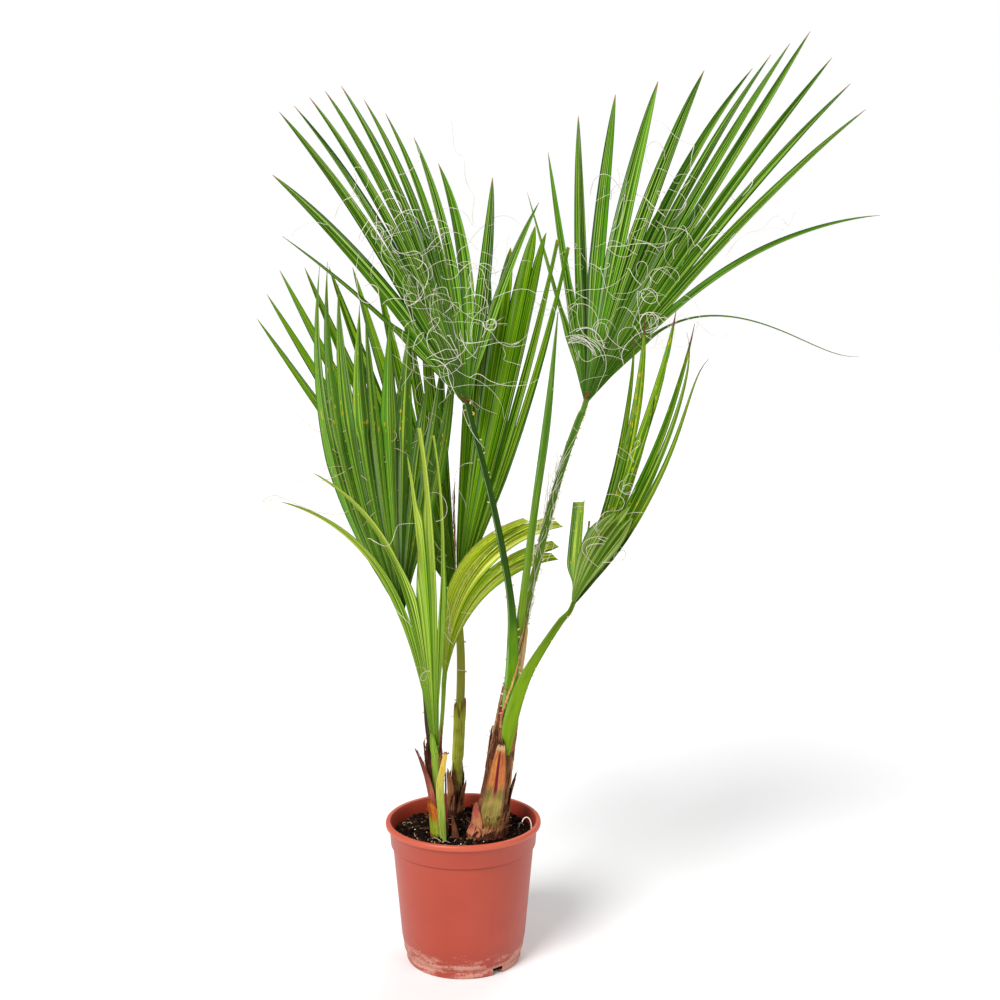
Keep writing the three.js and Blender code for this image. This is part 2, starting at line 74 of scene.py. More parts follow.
def lineAt(points, t):  # a smooth line through the points, t from 0 to 1
    points = np.asarray(points, float)
    spans = len(points) - 1
    place = min(max(t, 0), 1) * spans
    i = min(int(place), spans - 1)
    u = place - i
    start, end = points[i], points[i + 1]
    before = points[i - 1] if i > 0 else 2 * start - end
    after = points[i + 2] if i + 2 <= spans else 2 * end - start
    leave, arrive = (end - before) / 2, (after - start) / 2
    return (
        start * (2 * u**3 - 3 * u**2 + 1) + leave * (u**3 - 2 * u**2 + u)
        + end * (3 * u**2 - 2 * u**3) + arrive * (u**3 - u**2)
    )


class Skin:
    # collects points and faces of one joined piece; places and tones become its two UV maps
    def __init__(self):
        self.points, self.faces, self.places, self.tones = [], [], [], []

    def point(self, p):
        self.points.append(tuple(float(c) * mm for c in p))
        return len(self.points) - 1

    def face(self, corners, tone, places=None):
        self.faces.append(corners)
        self.places.extend(places or [(0, 0)] * len(corners))
        self.tones.extend([tone] * len(corners))

    def sleeve(self, rings, tone):  # a tube over rings of points, shut at both ends
        steps, sides = len(rings) - 1, len(rings[0])
        for k in range(steps):
            for n in range(sides):
                quad = ((k, n), (k, n + 1), (k + 1, n + 1), (k + 1, n))
                places = [(b / sides, a / steps) for a, b in quad]
                self.face([rings[a][b % sides] for a, b in quad], tone, places)
        self.face(rings[0][::-1], tone, [(0.5, 0)] * sides)
        self.face(rings[-1], tone, [(0.5, 1)] * sides)

    def sheet(self, grids, places, tones, edged=lambda s, c: True):
        # a thin leaf between an upper and a lower grid; edged says where its long edges have a face
        rows, columns = len(places) - 1, len(places[0]) - 1

        def quad(tone, *corners):
            self.face([grids[g][s][c] for g, s, c in corners], tone, [places[s][c] for g, s, c in corners])

        for s in range(rows):
            for c in range(columns):
                quad(tones[0], (0, s, c), (0, s + 1, c), (0, s + 1, c + 1), (0, s, c + 1))
                quad(tones[1], (1, s, c + 1), (1, s + 1, c + 1), (1, s + 1, c), (1, s, c))
            for c in (0, columns):
                if edged(s, c):
                    quad(tones[2], (0, s, c), (1, s, c), (1, s + 1, c), (0, s + 1, c))
        for s in (0, rows):
            for c in range(columns):
                quad(tones[2], (0, s, c), (0, s, c + 1), (1, s, c + 1), (1, s, c))

    def make(self, name, finishName, angle, slotName, *nodes):
        mesh = bpy.data.meshes.new(name)
        mesh.from_pydata(self.points, [], self.faces)
        piece = bpy.data.objects.new(name, mesh)
        scene.collection.objects.link(piece)
        for layer, values in (("place", self.places), ("tone", self.tones)):
            mesh.uv_layers.new(name=layer)
            mesh.uv_layers[layer].data.foreach_set("uv", np.asarray(values, float).ravel())
        finish(piece, finishName, angle, slotName, *nodes)
        return piece


def pick(piece):
    bpy.ops.object.select_all(action="DESELECT")
    piece.select_set(True)
    bpy.context.view_layer.objects.active = piece


def finish(piece, finishName, angle, slotName, *nodes):
    pick(piece)
    bpy.ops.object.mode_set(mode="EDIT")
    bpy.ops.mesh.select_all(action="SELECT")
    bpy.ops.mesh.normals_make_consistent(inside=False)
    bpy.ops.object.mode_set(mode="OBJECT")
    bpy.ops.object.shade_smooth_by_angle(angle=math.radians(angle))
    piece.data.materials.clear()
    piece.data.materials.append(finishes[finishName])
    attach(piece, "root")
    if nodes:
        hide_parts(*nodes)


# materials

def rgb(r, g, b):  # from a colour as screens show it to the one that Blender works with
    return tuple(c / 3294.6 if c <= 10.3 else ((c / 255 + 0.055) / 1.055) ** 2.4 for c in (r, g, b)) + (1,)


class Wire:
    # a socket that can be used in sums
    def __init__(self, tree, socket):
        self.tree = tree
        self.socket = socket

    def node(self, kind, inputs, output=0, **settings):
        made = self.tree.nodes.new(kind)
        stops = settings.pop("stops", ())
        for key, value in settings.items():
            setattr(made, key, value)
        for i, (at, *colour) in enumerate(stops):
            ramp = made.color_ramp.elements
            if i == 0:
                ramp.remove(ramp[-1])
            stop = ramp[0] if i == 0 else ramp.new(at)
            stop.position = at
            stop.color = rgb(*colour)
        for key, value in inputs.items():
            self.feed(value, made.inputs[key])
        return Wire(self.tree, made.outputs[output])

    def feed(self, value, socket):
        if isinstance(value, Wire):
            self.tree.links.new(value.socket, socket)
        else:
            socket.default_value = value

    def sum(self, operation, a, b):
        return self.node("ShaderNodeMath", {0: a, 1: b}, operation=operation)

    def __add__(self, other):
        return self.sum("ADD", self, other)

    def __radd__(self, other):
        return self.sum("ADD", other, self)

    def __sub__(self, other):
        return self.sum("SUBTRACT", self, other)

    def __rsub__(self, other):
        return self.sum("SUBTRACT", other, self)

    def __mul__(self, other):
        return self.sum("MULTIPLY", self, other)

    def __rmul__(self, other):
        return self.sum("MULTIPLY", other, self)

    def __abs__(self):
        return self.sum("ABSOLUTE", self, 0.0)

    def step(self, low, high):
        inputs = {"Value": self, "From Min": low, "From Max": high}
        return self.node("ShaderNodeMapRange", inputs, interpolation_type="SMOOTHSTEP")

    def over(self, low, width):  # from 0 to 1 just above a threshold
        return (self - low).step(0.0, width)

    def under(self, high, width):  # and just below one
        return (high - self).step(0.0, width)

    def into(self, start, end):  # this number blends the first colour into the second
        return self.node("ShaderNodeMix", {0: self, 6: start, 7: end}, output=2, data_type="RGBA")


class Finish:
    # a material with the wires that its maker needs
    def __init__(self, name, roughness, gloss, base=(0, 0, 0)):
        self.material = bpy.data.materials.new(name)
        self.material.use_nodes = True
        self.tree = self.material.node_tree
        self.shader = self.tree.nodes["Principled BSDF"]
        self.shader.inputs["Roughness"].default_value = roughness
        self.shader.inputs["Specular IOR Level"].default_value = gloss
        self.spot = Wire(self.tree, self.tree.nodes.new("ShaderNodeTexCoord").outputs["Object"])
        self.colour = rgb(*base)

    def uv(self, layer):
        split = self.spot.node("ShaderNodeUVMap", {}, uv_map=layer)
        first = split.node("ShaderNodeSeparateXYZ", {0: split})
        return first, Wire(self.tree, first.socket.node.outputs[1])

    def noise(self, vector, scale, detail=3.0, rough=0.55):
        inputs = {"Vector": vector, "Scale": scale, "Detail": detail, "Roughness": rough}
        return vector.node("ShaderNodeTexNoise", inputs)

    def grain(self, x, y, z, detail=3.0, rough=0.55):  # noise over places that are worked out
        return self.noise(self.spot.node("ShaderNodeCombineXYZ", {0: x, 1: y, 2: z}), 1.0, detail, rough)

    def paint(self, mask, colour):  # lays a colour, or the colours of a wire, over what is there
        self.colour = mask.into(self.colour, colour if isinstance(colour, Wire) else rgb(*colour))

    def wear(self, height, distance, strength=1.0, roughness=None):
        # hands colour, bumps and roughness to the shader
        inputs = {"Height": height, "Distance": distance, "Strength": strength}
        self.spot.feed(self.colour, self.shader.inputs["Base Color"])
        self.spot.feed(self.spot.node("ShaderNodeBump", inputs), self.shader.inputs["Normal"])
        if roughness:
            self.spot.feed(roughness, self.shader.inputs["Roughness"])
        return self.material


leafUsual = {"paintedSheen": 0.1, "fade": 0, "tipStart": 0.99, "band": 0, "spots": 0, "rough": 0.42}
# edge is the colour of the dark veins and of the painted shade along the leaflet edges
leafLooks = {
    "leafHigh": {
        "deep": (24, 64, 0), "bright": (92, 146, 26), "rib": (172, 198, 92), "edge": (14, 42, 2),
        "paintedLitHalf": (80, 146, 2), "paintedSheen": 0.6, "tip": (150, 108, 58), "tipStart": 0.965,
    },
    "leafMiddle": {
        "deep": (28, 74, 0), "bright": (94, 148, 0), "rib": (176, 200, 62), "edge": (14, 48, 0),
        "paintedLitHalf": (98, 156, 4), "paintedSheen": 0.4, "tip": (120, 130, 50), "tipStart": 0.98, "band": 0.12,
    },
    "leafLow": {
        "deep": (18, 62, 2), "bright": (92, 148, 34), "rib": (172, 194, 62), "edge": (18, 50, 4),
        "paintedLitHalf": (76, 140, 2), "paintedSheen": 0.7, "tip": (116, 100, 48), "tipStart": 0.975, "spots": 0.01,
    },
    "leafSpotted": {
        "deep": (36, 80, 0), "bright": (98, 138, 14), "rib": (178, 194, 70), "edge": (30, 68, 4),
        "paintedLitHalf": (90, 150, 2), "paintedSheen": 0.25, "tip": (100, 62, 54), "tipStart": 0.935, "spots": 1.0,
    },
    "leafFlap": {
        "deep": (60, 96, 12), "bright": (118, 150, 58), "rib": (192, 202, 110), "edge": (64, 96, 26),
        "paintedLitHalf": (104, 150, 28), "paintedSheen": 0.5, "tip": (150, 160, 90), "band": 0.35, "rough": 0.46,
    },
    "leafYoung": {
        "deep": (48, 96, 4), "bright": (122, 164, 40), "rib": (196, 210, 96), "edge": (36, 80, 10),
        "paintedLitHalf": (106, 160, 12), "tip": (170, 176, 90), "band": 0.5, "rough": 0.46, "fade": 0.65,
    },
    "leafPale": {
        "deep": (122, 156, 0), "bright": (198, 218, 26), "rib": (226, 224, 112), "edge": (46, 88, 8),
        "paintedLitHalf": (118, 160, 8), "tip": (180, 190, 90), "band": 0.9, "rough": 0.46,
    },
}


def leafFinish(name, looks):
    looks = {**leafUsual, **looks}
    leaf = Finish(name, looks["rough"], 0.05, looks["deep"])
    across, along = leaf.uv("place")
    tone, side = leaf.uv("tone")
    signed = across * 2 - 1
    u = abs(signed)
    veins = leaf.grain(across * 16, along * 0.7, tone * 40, 2.5, 0.7)
    broad = leaf.grain(across * 3, along * 2.4, tone * 23)
    cloud = leaf.noise(leaf.spot, 14.0)
    ribLine = u.under(0.075, 0.045)
    lean = signed * (tone * 4 - 2)  # which half is painted lit and which gets the painted sheen differs from leaflet to leaflet
    paintedSheen = (lean * -1).step(0.05, 0.8) * broad.over(0.42, 0.16)
    shade = veins * 0.8 + broad * 0.45 + cloud * 0.35 + tone * 0.3 - 0.45
    leaf.paint(shade.step(0.26, 0.76), looks["bright"])
    # painted light: the half of each leaflet taken as lit is painted a brighter, fresher green
    leaf.paint(lean.step(0.05, 0.9) * 0.6, looks["paintedLitHalf"])
    # painted sheen: a bluish-white highlight painted in patches over the other half of many leaflets
    leaf.paint(paintedSheen * looks["paintedSheen"], (132, 156, 118))
    if looks["fade"]:
        leaf.paint(along.step(0.5, 0.85) * looks["fade"], (172, 186, 70))
    if looks["band"]:
        stripe = leaf.grain(across * 7.5, along * 0.9, tone * 31, 2.0, 0.4)
        leaf.paint((stripe - 0.5).step(0.03, 0.1) * looks["band"], looks["rib"])
    if looks["spots"]:
        marks = leaf.grain(across * 7, along * 34, tone * 60, 1.5)
        blot = marks + leaf.noise(leaf.spot, 9.0) * 0.55 + looks["spots"] * 0.05
        leaf.paint(blot.over(0.985, 0.035) * 0.8, (196, 190, 50))
        leaf.paint(blot.over(1.025, 0.02) * 0.9, (222, 136, 30))
    leaf.paint(veins.over(0.555, 0.045) * 0.68, looks["rib"])
    leaf.paint(veins.under(0.465, 0.05) * 0.75, looks["edge"])
    leaf.paint(ribLine * (1.0 - along * 0.5), looks["rib"])
    # painted shade: a dark line painted along each leaflet's edges, where the pleats fold and the slits open
    leaf.paint(u.over(0.86, 0.1) * 0.85, looks["edge"])
    leaf.paint(along.under(0.24, 0.2) * 0.45, looks["deep"])
    leaf.paint(side * 0.2, (112, 144, 66))
    leaf.paint((along + cloud * 0.05 - looks["tipStart"] - 0.02).step(0.0, 0.025), looks["tip"])
    return leaf.wear(veins * 0.6 + ribLine * 0.8, 0.0009, 0.8, looks["rough"] + veins * 0.16 - 0.08)


stalkLooks = {
    # colours at the foot, at the blade and of the margins, where the first turns into the second, strength of
    # the painted highlight streak
    "stalkDeep": ((100, 146, 4), (30, 62, 4), (62, 98, 10), (0.2, 0.55), 0.55),
    "stalkGreen": ((104, 138, 6), (66, 96, 6), (126, 142, 30), (0.3, 0.9)),
    "stalkOlive": ((104, 134, 12), (62, 104, 14), (150, 160, 76), (0.05, 0.6)),
    "stalkPurple": ((58, 26, 30), (62, 110, 16), (92, 96, 34), (0.25, 0.6)),
    "stalkBrown": ((134, 140, 44), (128, 144, 40), (160, 100, 58), (0.1, 0.9)),
    "spearSkin": ((100, 132, 12), (70, 112, 22), (156, 174, 80), (0.1, 0.7)),
    "youngStalk": ((140, 170, 60), (120, 160, 36), (176, 192, 84), (0.1, 0.9)),
    "cutStalk": ((138, 166, 60), (212, 168, 66), (206, 200, 116), (0.2, 0.95)),
}


def stalkFinish(name, low, high, margin, turn, shine=0.3):
    stalk = Finish(name, 0.4, 0.14, low)
    across, along = stalk.uv("place")
    streak = stalk.grain(across * 30, along * 5, 2.0, 4.0, 0.6)
    cloud = stalk.noise(stalk.spot, 30.0)
    paintedHighlight = abs(across - 0.61).under(0.05, 0.04) * cloud.over(0.3, 0.3)
    border = (abs(abs(across - 0.5) - 0.25) - 0.215).step(0.0, 0.03)
    stalk.paint((along + (cloud - 0.5) * 0.2).step(*turn), high)
    stalk.paint(streak.over(0.5, 0.16) * 0.5, margin)
    stalk.paint(streak.under(0.47, 0.12) * 0.35, (30, 50, 10))
    # painted highlight: a pale streak painted down one side of the stalk
    stalk.paint(paintedHighlight * shine, (150, 176, 120))
    stalk.paint(border * 0.7, margin)
    return stalk.wear(streak, 0.0006, 0.6, 0.36 + streak * 0.14)


fibreLooks = {
    # stops of a colour ramp and, where given, others above the turn
    "stemBark": {
        "colours": [(0.3, 20, 11, 8), (0.42, 88, 50, 32), (0.58, 140, 92, 56), (0.8, 186, 142, 92)],
        "upper": [(0.25, 104, 52, 36), (0.5, 176, 116, 84), (0.7, 196, 160, 110), (0.85, 140, 140, 50)],
        "turn": (0.55, 0.85),
    },
    "stemPurple": {
        "colours": [(0.25, 46, 24, 22), (0.45, 84, 50, 40), (0.62, 114, 82, 50), (0.85, 140, 122, 62)],
        "scale": 16, "depth": 0.0008, "rough": 0.6, "turn": (0.32, 0.55),
        "upper": [(0.2, 92, 106, 18), (0.5, 148, 156, 40), (0.8, 186, 190, 80)],
    },
    "mouthGreen": {
        "colours": [(0.2, 92, 106, 18), (0.5, 148, 156, 40), (0.8, 186, 190, 80)],
        "scale": 16, "depth": 0.0008, "rough": 0.6, "turn": (0.86, 1.0),
        "upper": [(0.2, 96, 60, 30), (0.5, 140, 96, 50), (0.8, 176, 140, 84)],
    },
    "stemTop": {
        "colours": [(0.25, 150, 92, 70), (0.45, 200, 152, 112), (0.65, 210, 180, 122), (0.85, 150, 160, 70)],
        "scale": 18, "rough": 0.6,
    },
    "oldPurple": {
        "colours": [(0.2, 74, 26, 26), (0.42, 140, 62, 54), (0.62, 176, 96, 74), (0.85, 196, 150, 100)],
        "scale": 16, "rough": 0.6, "turn": (0.5, 0.75),
        "upper": [(0.25, 60, 24, 26), (0.5, 114, 50, 44), (0.8, 162, 100, 66)],
    },
    "sheathDry": {
        "colours": [(0.2, 64, 36, 24), (0.42, 126, 78, 48), (0.62, 172, 120, 74), (0.85, 206, 174, 124)],
    },
    "sheathDark": {
        "colours": [(0.2, 34, 16, 14), (0.42, 78, 40, 28), (0.62, 122, 72, 48), (0.85, 170, 118, 78)],
    },
    "sheathPink": {
        "colours": [(0.2, 112, 40, 42), (0.4, 186, 88, 80), (0.58, 200, 140, 92), (0.82, 190, 186, 92)],
        "scale": 18, "rough": 0.55,
    },
    "sheathRed": {
        "colours": [(0.2, 66, 16, 30), (0.45, 120, 34, 52), (0.65, 150, 72, 62), (0.85, 176, 132, 96)],
        "scale": 18, "rough": 0.55,
    },
    "sheathOrange": {
        "colours": [(0.2, 96, 96, 20), (0.42, 150, 170, 44), (0.6, 190, 184, 70), (0.82, 204, 140, 60)],
        "scale": 14, "rough": 0.5, "turn": (0.35, 0.6),
        "upper": [(0.25, 150, 72, 30), (0.5, 222, 128, 44), (0.8, 232, 176, 84)],
    },
    "toothTan": {"colours": [(0.3, 216, 140, 50), (0.6, 246, 226, 190)], "rough": 0.5},
    "threadPale": {"colours": [(0.3, 228, 216, 186), (0.7, 255, 252, 242)], "rough": 0.7},
    "threadTan": {"colours": [(0.3, 190, 162, 118), (0.7, 238, 226, 198)], "rough": 0.75},
    "threadBrown": {"colours": [(0.3, 92, 54, 34), (0.7, 186, 134, 88)], "rough": 0.8},
}


def fibreFinish(name, colours, scale=26, depth=0.0012, rough=0.85, upper=(), turn=(0.4, 0.7)):
    fibre = Finish(name, rough, 0.15)
    across, along = fibre.uv("place")
    tone, _ = fibre.uv("tone")
    strand = fibre.grain(across * scale, along * 2.2, tone * 17, 5.0, 0.65)
    patch = fibre.noise(fibre.spot, 55.0, 4.0, 0.6)
    mixed = strand * 0.7 + patch * 0.6 + tone * 0.2 - 0.25
    fibre.colour = mixed.node("ShaderNodeValToRGB", {0: mixed}, stops=colours)
    if upper:
        above = mixed.node("ShaderNodeValToRGB", {0: mixed}, stops=upper)
        fibre.paint((along + (patch - 0.5) * 0.5).step(*turn), above)
    return fibre.wear(strand * 0.7 + patch * 0.4, depth, 1.0, rough - 0.15 + strand * 0.2)


def sheathFrontFinish():
    # the big pointed base: orange and pink above, olive below, a dark crimson streak down its middle
    base = Finish("sheathFrontSkin", 0.42, 0.25, (96, 86, 36))
    across, along = base.uv("place")
    strand = base.grain(across * 20, along * 2.2, 4.0, 4.0, 0.65)
    cloud = base.noise(base.spot, 60.0, 3.0, 0.6)
    height = along + (cloud - 0.5) * 0.3
    high = (strand * 0.8 + cloud * 0.4).step(0.42, 0.78).into(rgb(152, 72, 36), rgb(216, 138, 68))
    middle = abs(across - 0.52 + (along - 0.55) * 0.12)
    rib = (0.11 - middle + (strand - 0.5) * 0.08).step(0.0, 0.05)
    reach = height.step(0.38, 0.5) * height.under(0.98, 0.16)
    u = abs(across * 2 - 1)
    base.paint((cloud * 0.6 + strand * 0.6).step(0.42, 0.76), (168, 146, 72))
    base.paint(height.step(0.4, 0.6), high)
    base.paint(rib * reach, (106, 16, 30))
    base.paint((u + (strand - 0.5) * 0.4).step(0.74, 0.96) * 0.9, (112, 72, 48))
    base.paint(strand.over(0.58, 0.06) * 0.6, (78, 50, 28))
    base.paint(along.under(0.12, 0.12) * 0.8, (150, 112, 70))
    base.paint(height.step(0.9, 1.0) * 0.8, (214, 186, 140))
    return base.wear(strand, 0.0012, 0.9, 0.36 + strand * 0.16)


finishes["sheathFront"] = sheathFrontFinish()
for name, looks in leafLooks.items():
    finishes[name] = leafFinish(name, looks)
for name, looks in stalkLooks.items():
    finishes[name] = stalkFinish(name, *looks)
for name, looks in fibreLooks.items():
    finishes[name] = fibreFinish(name, **looks)
print("materials ready")


# fronds

fronds = {
    # leaflets are counted from 0 at the left; what is set for some of them runs evenly in between
    "frond_right_high": {
        "hub": (150, 45, 684), "aim": (0.46, 0.26, 0.85), "face": (-0.3, -1, 0.25), "finish": "leafHigh",
        "ribs": {0: -42, 5: -9, 14: 22}, "tips": {0: -42, 6: -1, 9: 4, 12: 18, 13: 34, 14: 60},
        "lengths": {0: 285, 2: 380, 5: 465, 9: 560, 12: 495, 14: 325},
        "widths": {0: 0.6, 2: 1, 13: 1, 14: 0.55},
        "fold": 10, "arch": 0.03, "bend": 2, "slit": (0.28, 0.48), "droops": {14: 0.3},
        "threads": 58, "threadFrom": (0.18, 0.7), "tufts": 9, "loose": 7,
    },
    "frond_left_high": {
        "hub": (5, 10, 682), "aim": (-0.366, 0.2, 0.907), "face": (0.25, -1, 0.2), "finish": "leafHigh",
        "ribs": {0: -26, 2: -7, 9: 16, 12: 37}, "tips": {0: -29, 2: -12, 8: 6, 10: 15, 12: 41},
        "lengths": {0: 290, 2: 415, 6: 420, 8: 372, 10: 300, 12: 265},
        "widths": {0: 0.5, 1: 1, 8: 1.1, 12: 1.2},
        "fold": 10, "arch": 0.03, "bend": 1.6, "slit": (0.3, 0.5),
        "threads": 68, "threadFrom": (0.1, 0.8), "loose": 4,
    },
    "frond_middle": {
        "hub": (-9, 62, 439), "aim": (-0.14, 0.1, 0.985), "face": (-0.2, -1, 0.12), "finish": "leafMiddle",
        "ribs": {0: -27, 9: 5, 10: 12, 16: 33}, "tips": {0: -28, 9: 5, 10: 11, 13: 21, 16: 27},
        "lengths": {0: 430, 2: 465, 6: 420, 9: 312, 10: 375, 13: 465, 16: 450},
        "widths": {0: 1.3, 9: 1.1, 10: 1}, "cuts": {14: 0, 15: 0.5}, "fold": 8, "arch": 0.03,
        "bend": 1.3, "slit": (0.36, 0.52), "stalkWidth": 8, "wave": 2, "split": {10: 18},
        "slits": {8: 0.68, 9: 0.74, 11: 0.98, 12: 0.84, 13: 0.84, 14: 0.9, 15: 0.5, 16: 0.5},
        "threads": 12, "threadFrom": (0.35, 0.8),
        "fringe": {"edge": 10, "from": 20, "to": 122, "count": 34, "reach": (10, 34), "thick": (0.35, 0.8)},
    },
    "frond_left_low": {
        "hub": (-72, -18, 438), "aim": (-0.15, -0.04, 0.98), "face": (-0.1, 1, 0.1), "finish": "leafLow",
        "ribs": {0: -30, 4: -4, 9: 34}, "tips": {0: -29, 3: -12, 6: 0, 9: 5},
        "lengths": {0: 352, 2: 285, 3: 342, 6: 362, 8: 416}, "widths": {2: 1.6, 3: 1.9, 5: 1, 6: 1.7, 9: 1.3},
        "fold": 33, "bend": 0.8, "slit": (0.4, 0.6), "stalkWidth": 7.5,
        "lap": 2.1, "taper": 1.2, "stray": 2.0, "threads": 22, "threadFrom": (0.25, 0.6),
        "threadFinish": "threadTan",
    },
    "frond_right_low": {
        "hub": (132, -40, 452), "aim": (0.34, 0, 0.94), "face": (-0.8, -0.6, 0.25), "finish": "leafSpotted",
        "ribs": {0: -25, 1: -7, 2: 2, 8: 36}, "tips": {0: -23, 1: -13, 3: -9, 4: -2, 8: 10},
        "lengths": {0: 120, 1: 96, 2: 326, 4: 358, 5: 263, 6: 350, 8: 325},
        "widths": {0: 1, 2: 1.3, 4: 1.3, 5: 0.8, 6: 1.2, 8: 1}, "cuts": {0: 1, 1: 0.5, 2: 0},
        "fold": 8, "bend": 1.1, "slit": (0.34, 0.5), "wave": 2, "lap": 1.4, "taper": 0.95,
        "wide": {0: 11.5}, "slits": {0: 0.12, 1: 0.17}, "tipCurl": {7: -3.5, 8: 3.5},
        "threads": 8, "threadFrom": (0.2, 0.6),
    },
    "frond_right_low_flap": {
        "hub": (130.7, -44.5, 453), "aim": (0.36, -0.36, 0.86), "face": (-0.6, -0.75, 0.1),
        "finish": "leafFlap", "ribs": {0: -20, 2: 8}, "tips": {0: 0, 2: 9},
        "lengths": {0: 128, 1: 146, 2: 138}, "fold": 6, "bend": 1.2, "slit": (0.7, 0.85), "stalkWidth": 5,
        "wave": 1, "threads": 2, "threadFrom": (0.5, 0.9), "threadFinish": "threadTan",
    },
    "leaf_young": {
        "hub": (-33, -24, 273), "aim": (-0.05, -0.04, 1), "face": (0, -1, 0.05), "finish": "leafYoung",
        "ribs": {0: -7.5, 4: 6.5}, "tips": {0: -28, 1: -20, 2: -2, 4: 3},
        "lengths": {0: 348, 1: 361, 2: 352, 3: 383, 4: 374}, "cuts": {2: 0, 3: 0.6, 4: 0.5},
        "fold": 5, "bend": 2.8, "slit": (0.5, 0.64), "stalkWidth": 9, "wave": 1.5,
        "slits": {1: 0.44, 2: 0.52, 3: 0.8, 4: 0.38}, "wide": {0: 5.6, 1: 5.2, 2: 3.6, 3: 4.6, 4: 2.8},
        "threads": 4, "threadFrom": (0.2, 0.9),
    },
    "leaf_arching": {
        "hub": (-22, 8, 356), "aim": (0.55, 0.17, 0.82), "face": (0.1, -1, 0.3), "finish": "leafPale",
        "ribs": {0: -40, 5: -17}, "tips": {0: -5, 5: 11}, "lengths": {1: 210, 2: 230, 3: 228, 4: 206, 5: 194},
        "cuts": {0: 1}, "fold": 5, "arch": 0.03, "bend": 1.65, "slit": (0.72, 0.8), "stalkWidth": 6,
        "wave": 1, "slits": {1: 0.97, 2: 0.74, 3: 0.97, 4: 0.66, 5: 0.97},
        "threads": 3, "threadFrom": (0.1, 0.5),
    },
}
frondUsual = {
    "widths": {0: 1}, "cuts": {0: 0}, "slits": {}, "split": {}, "wide": {}, "droops": {}, "tipCurl": {},
    "arch": 0, "stalkWidth": 7, "wave": 3, "lap": 1, "taper": 0.76, "stray": 0,
    "threadFinish": "threadPale", "tufts": 0, "loose": 0, "fringe": None,
}
blade = {
    "webSteps": 14, "freeSteps": 26, "crowding": 1.15,
    "columns": (-1, -0.74, -0.42, -0.12, 0, 0.12, 0.42, 0.74, 1),
    "pleat": 0.19, "foldFree": 0.62, "lapRise": 1.3, "ripple": 0.25, "freeRipple": 0.4, "thick": 0.34,
    "ribThick": 1.1, "belly": 0.58, "narrowest": 0.03, "gap": 0.26, "leastHalf": 0.14, "cutMark": 0.938,
}


def valueAt(named, i):  # a value for leaflet i, which runs evenly between the leaflets that are named
    return float(np.interp(i, list(named), list(named.values())))


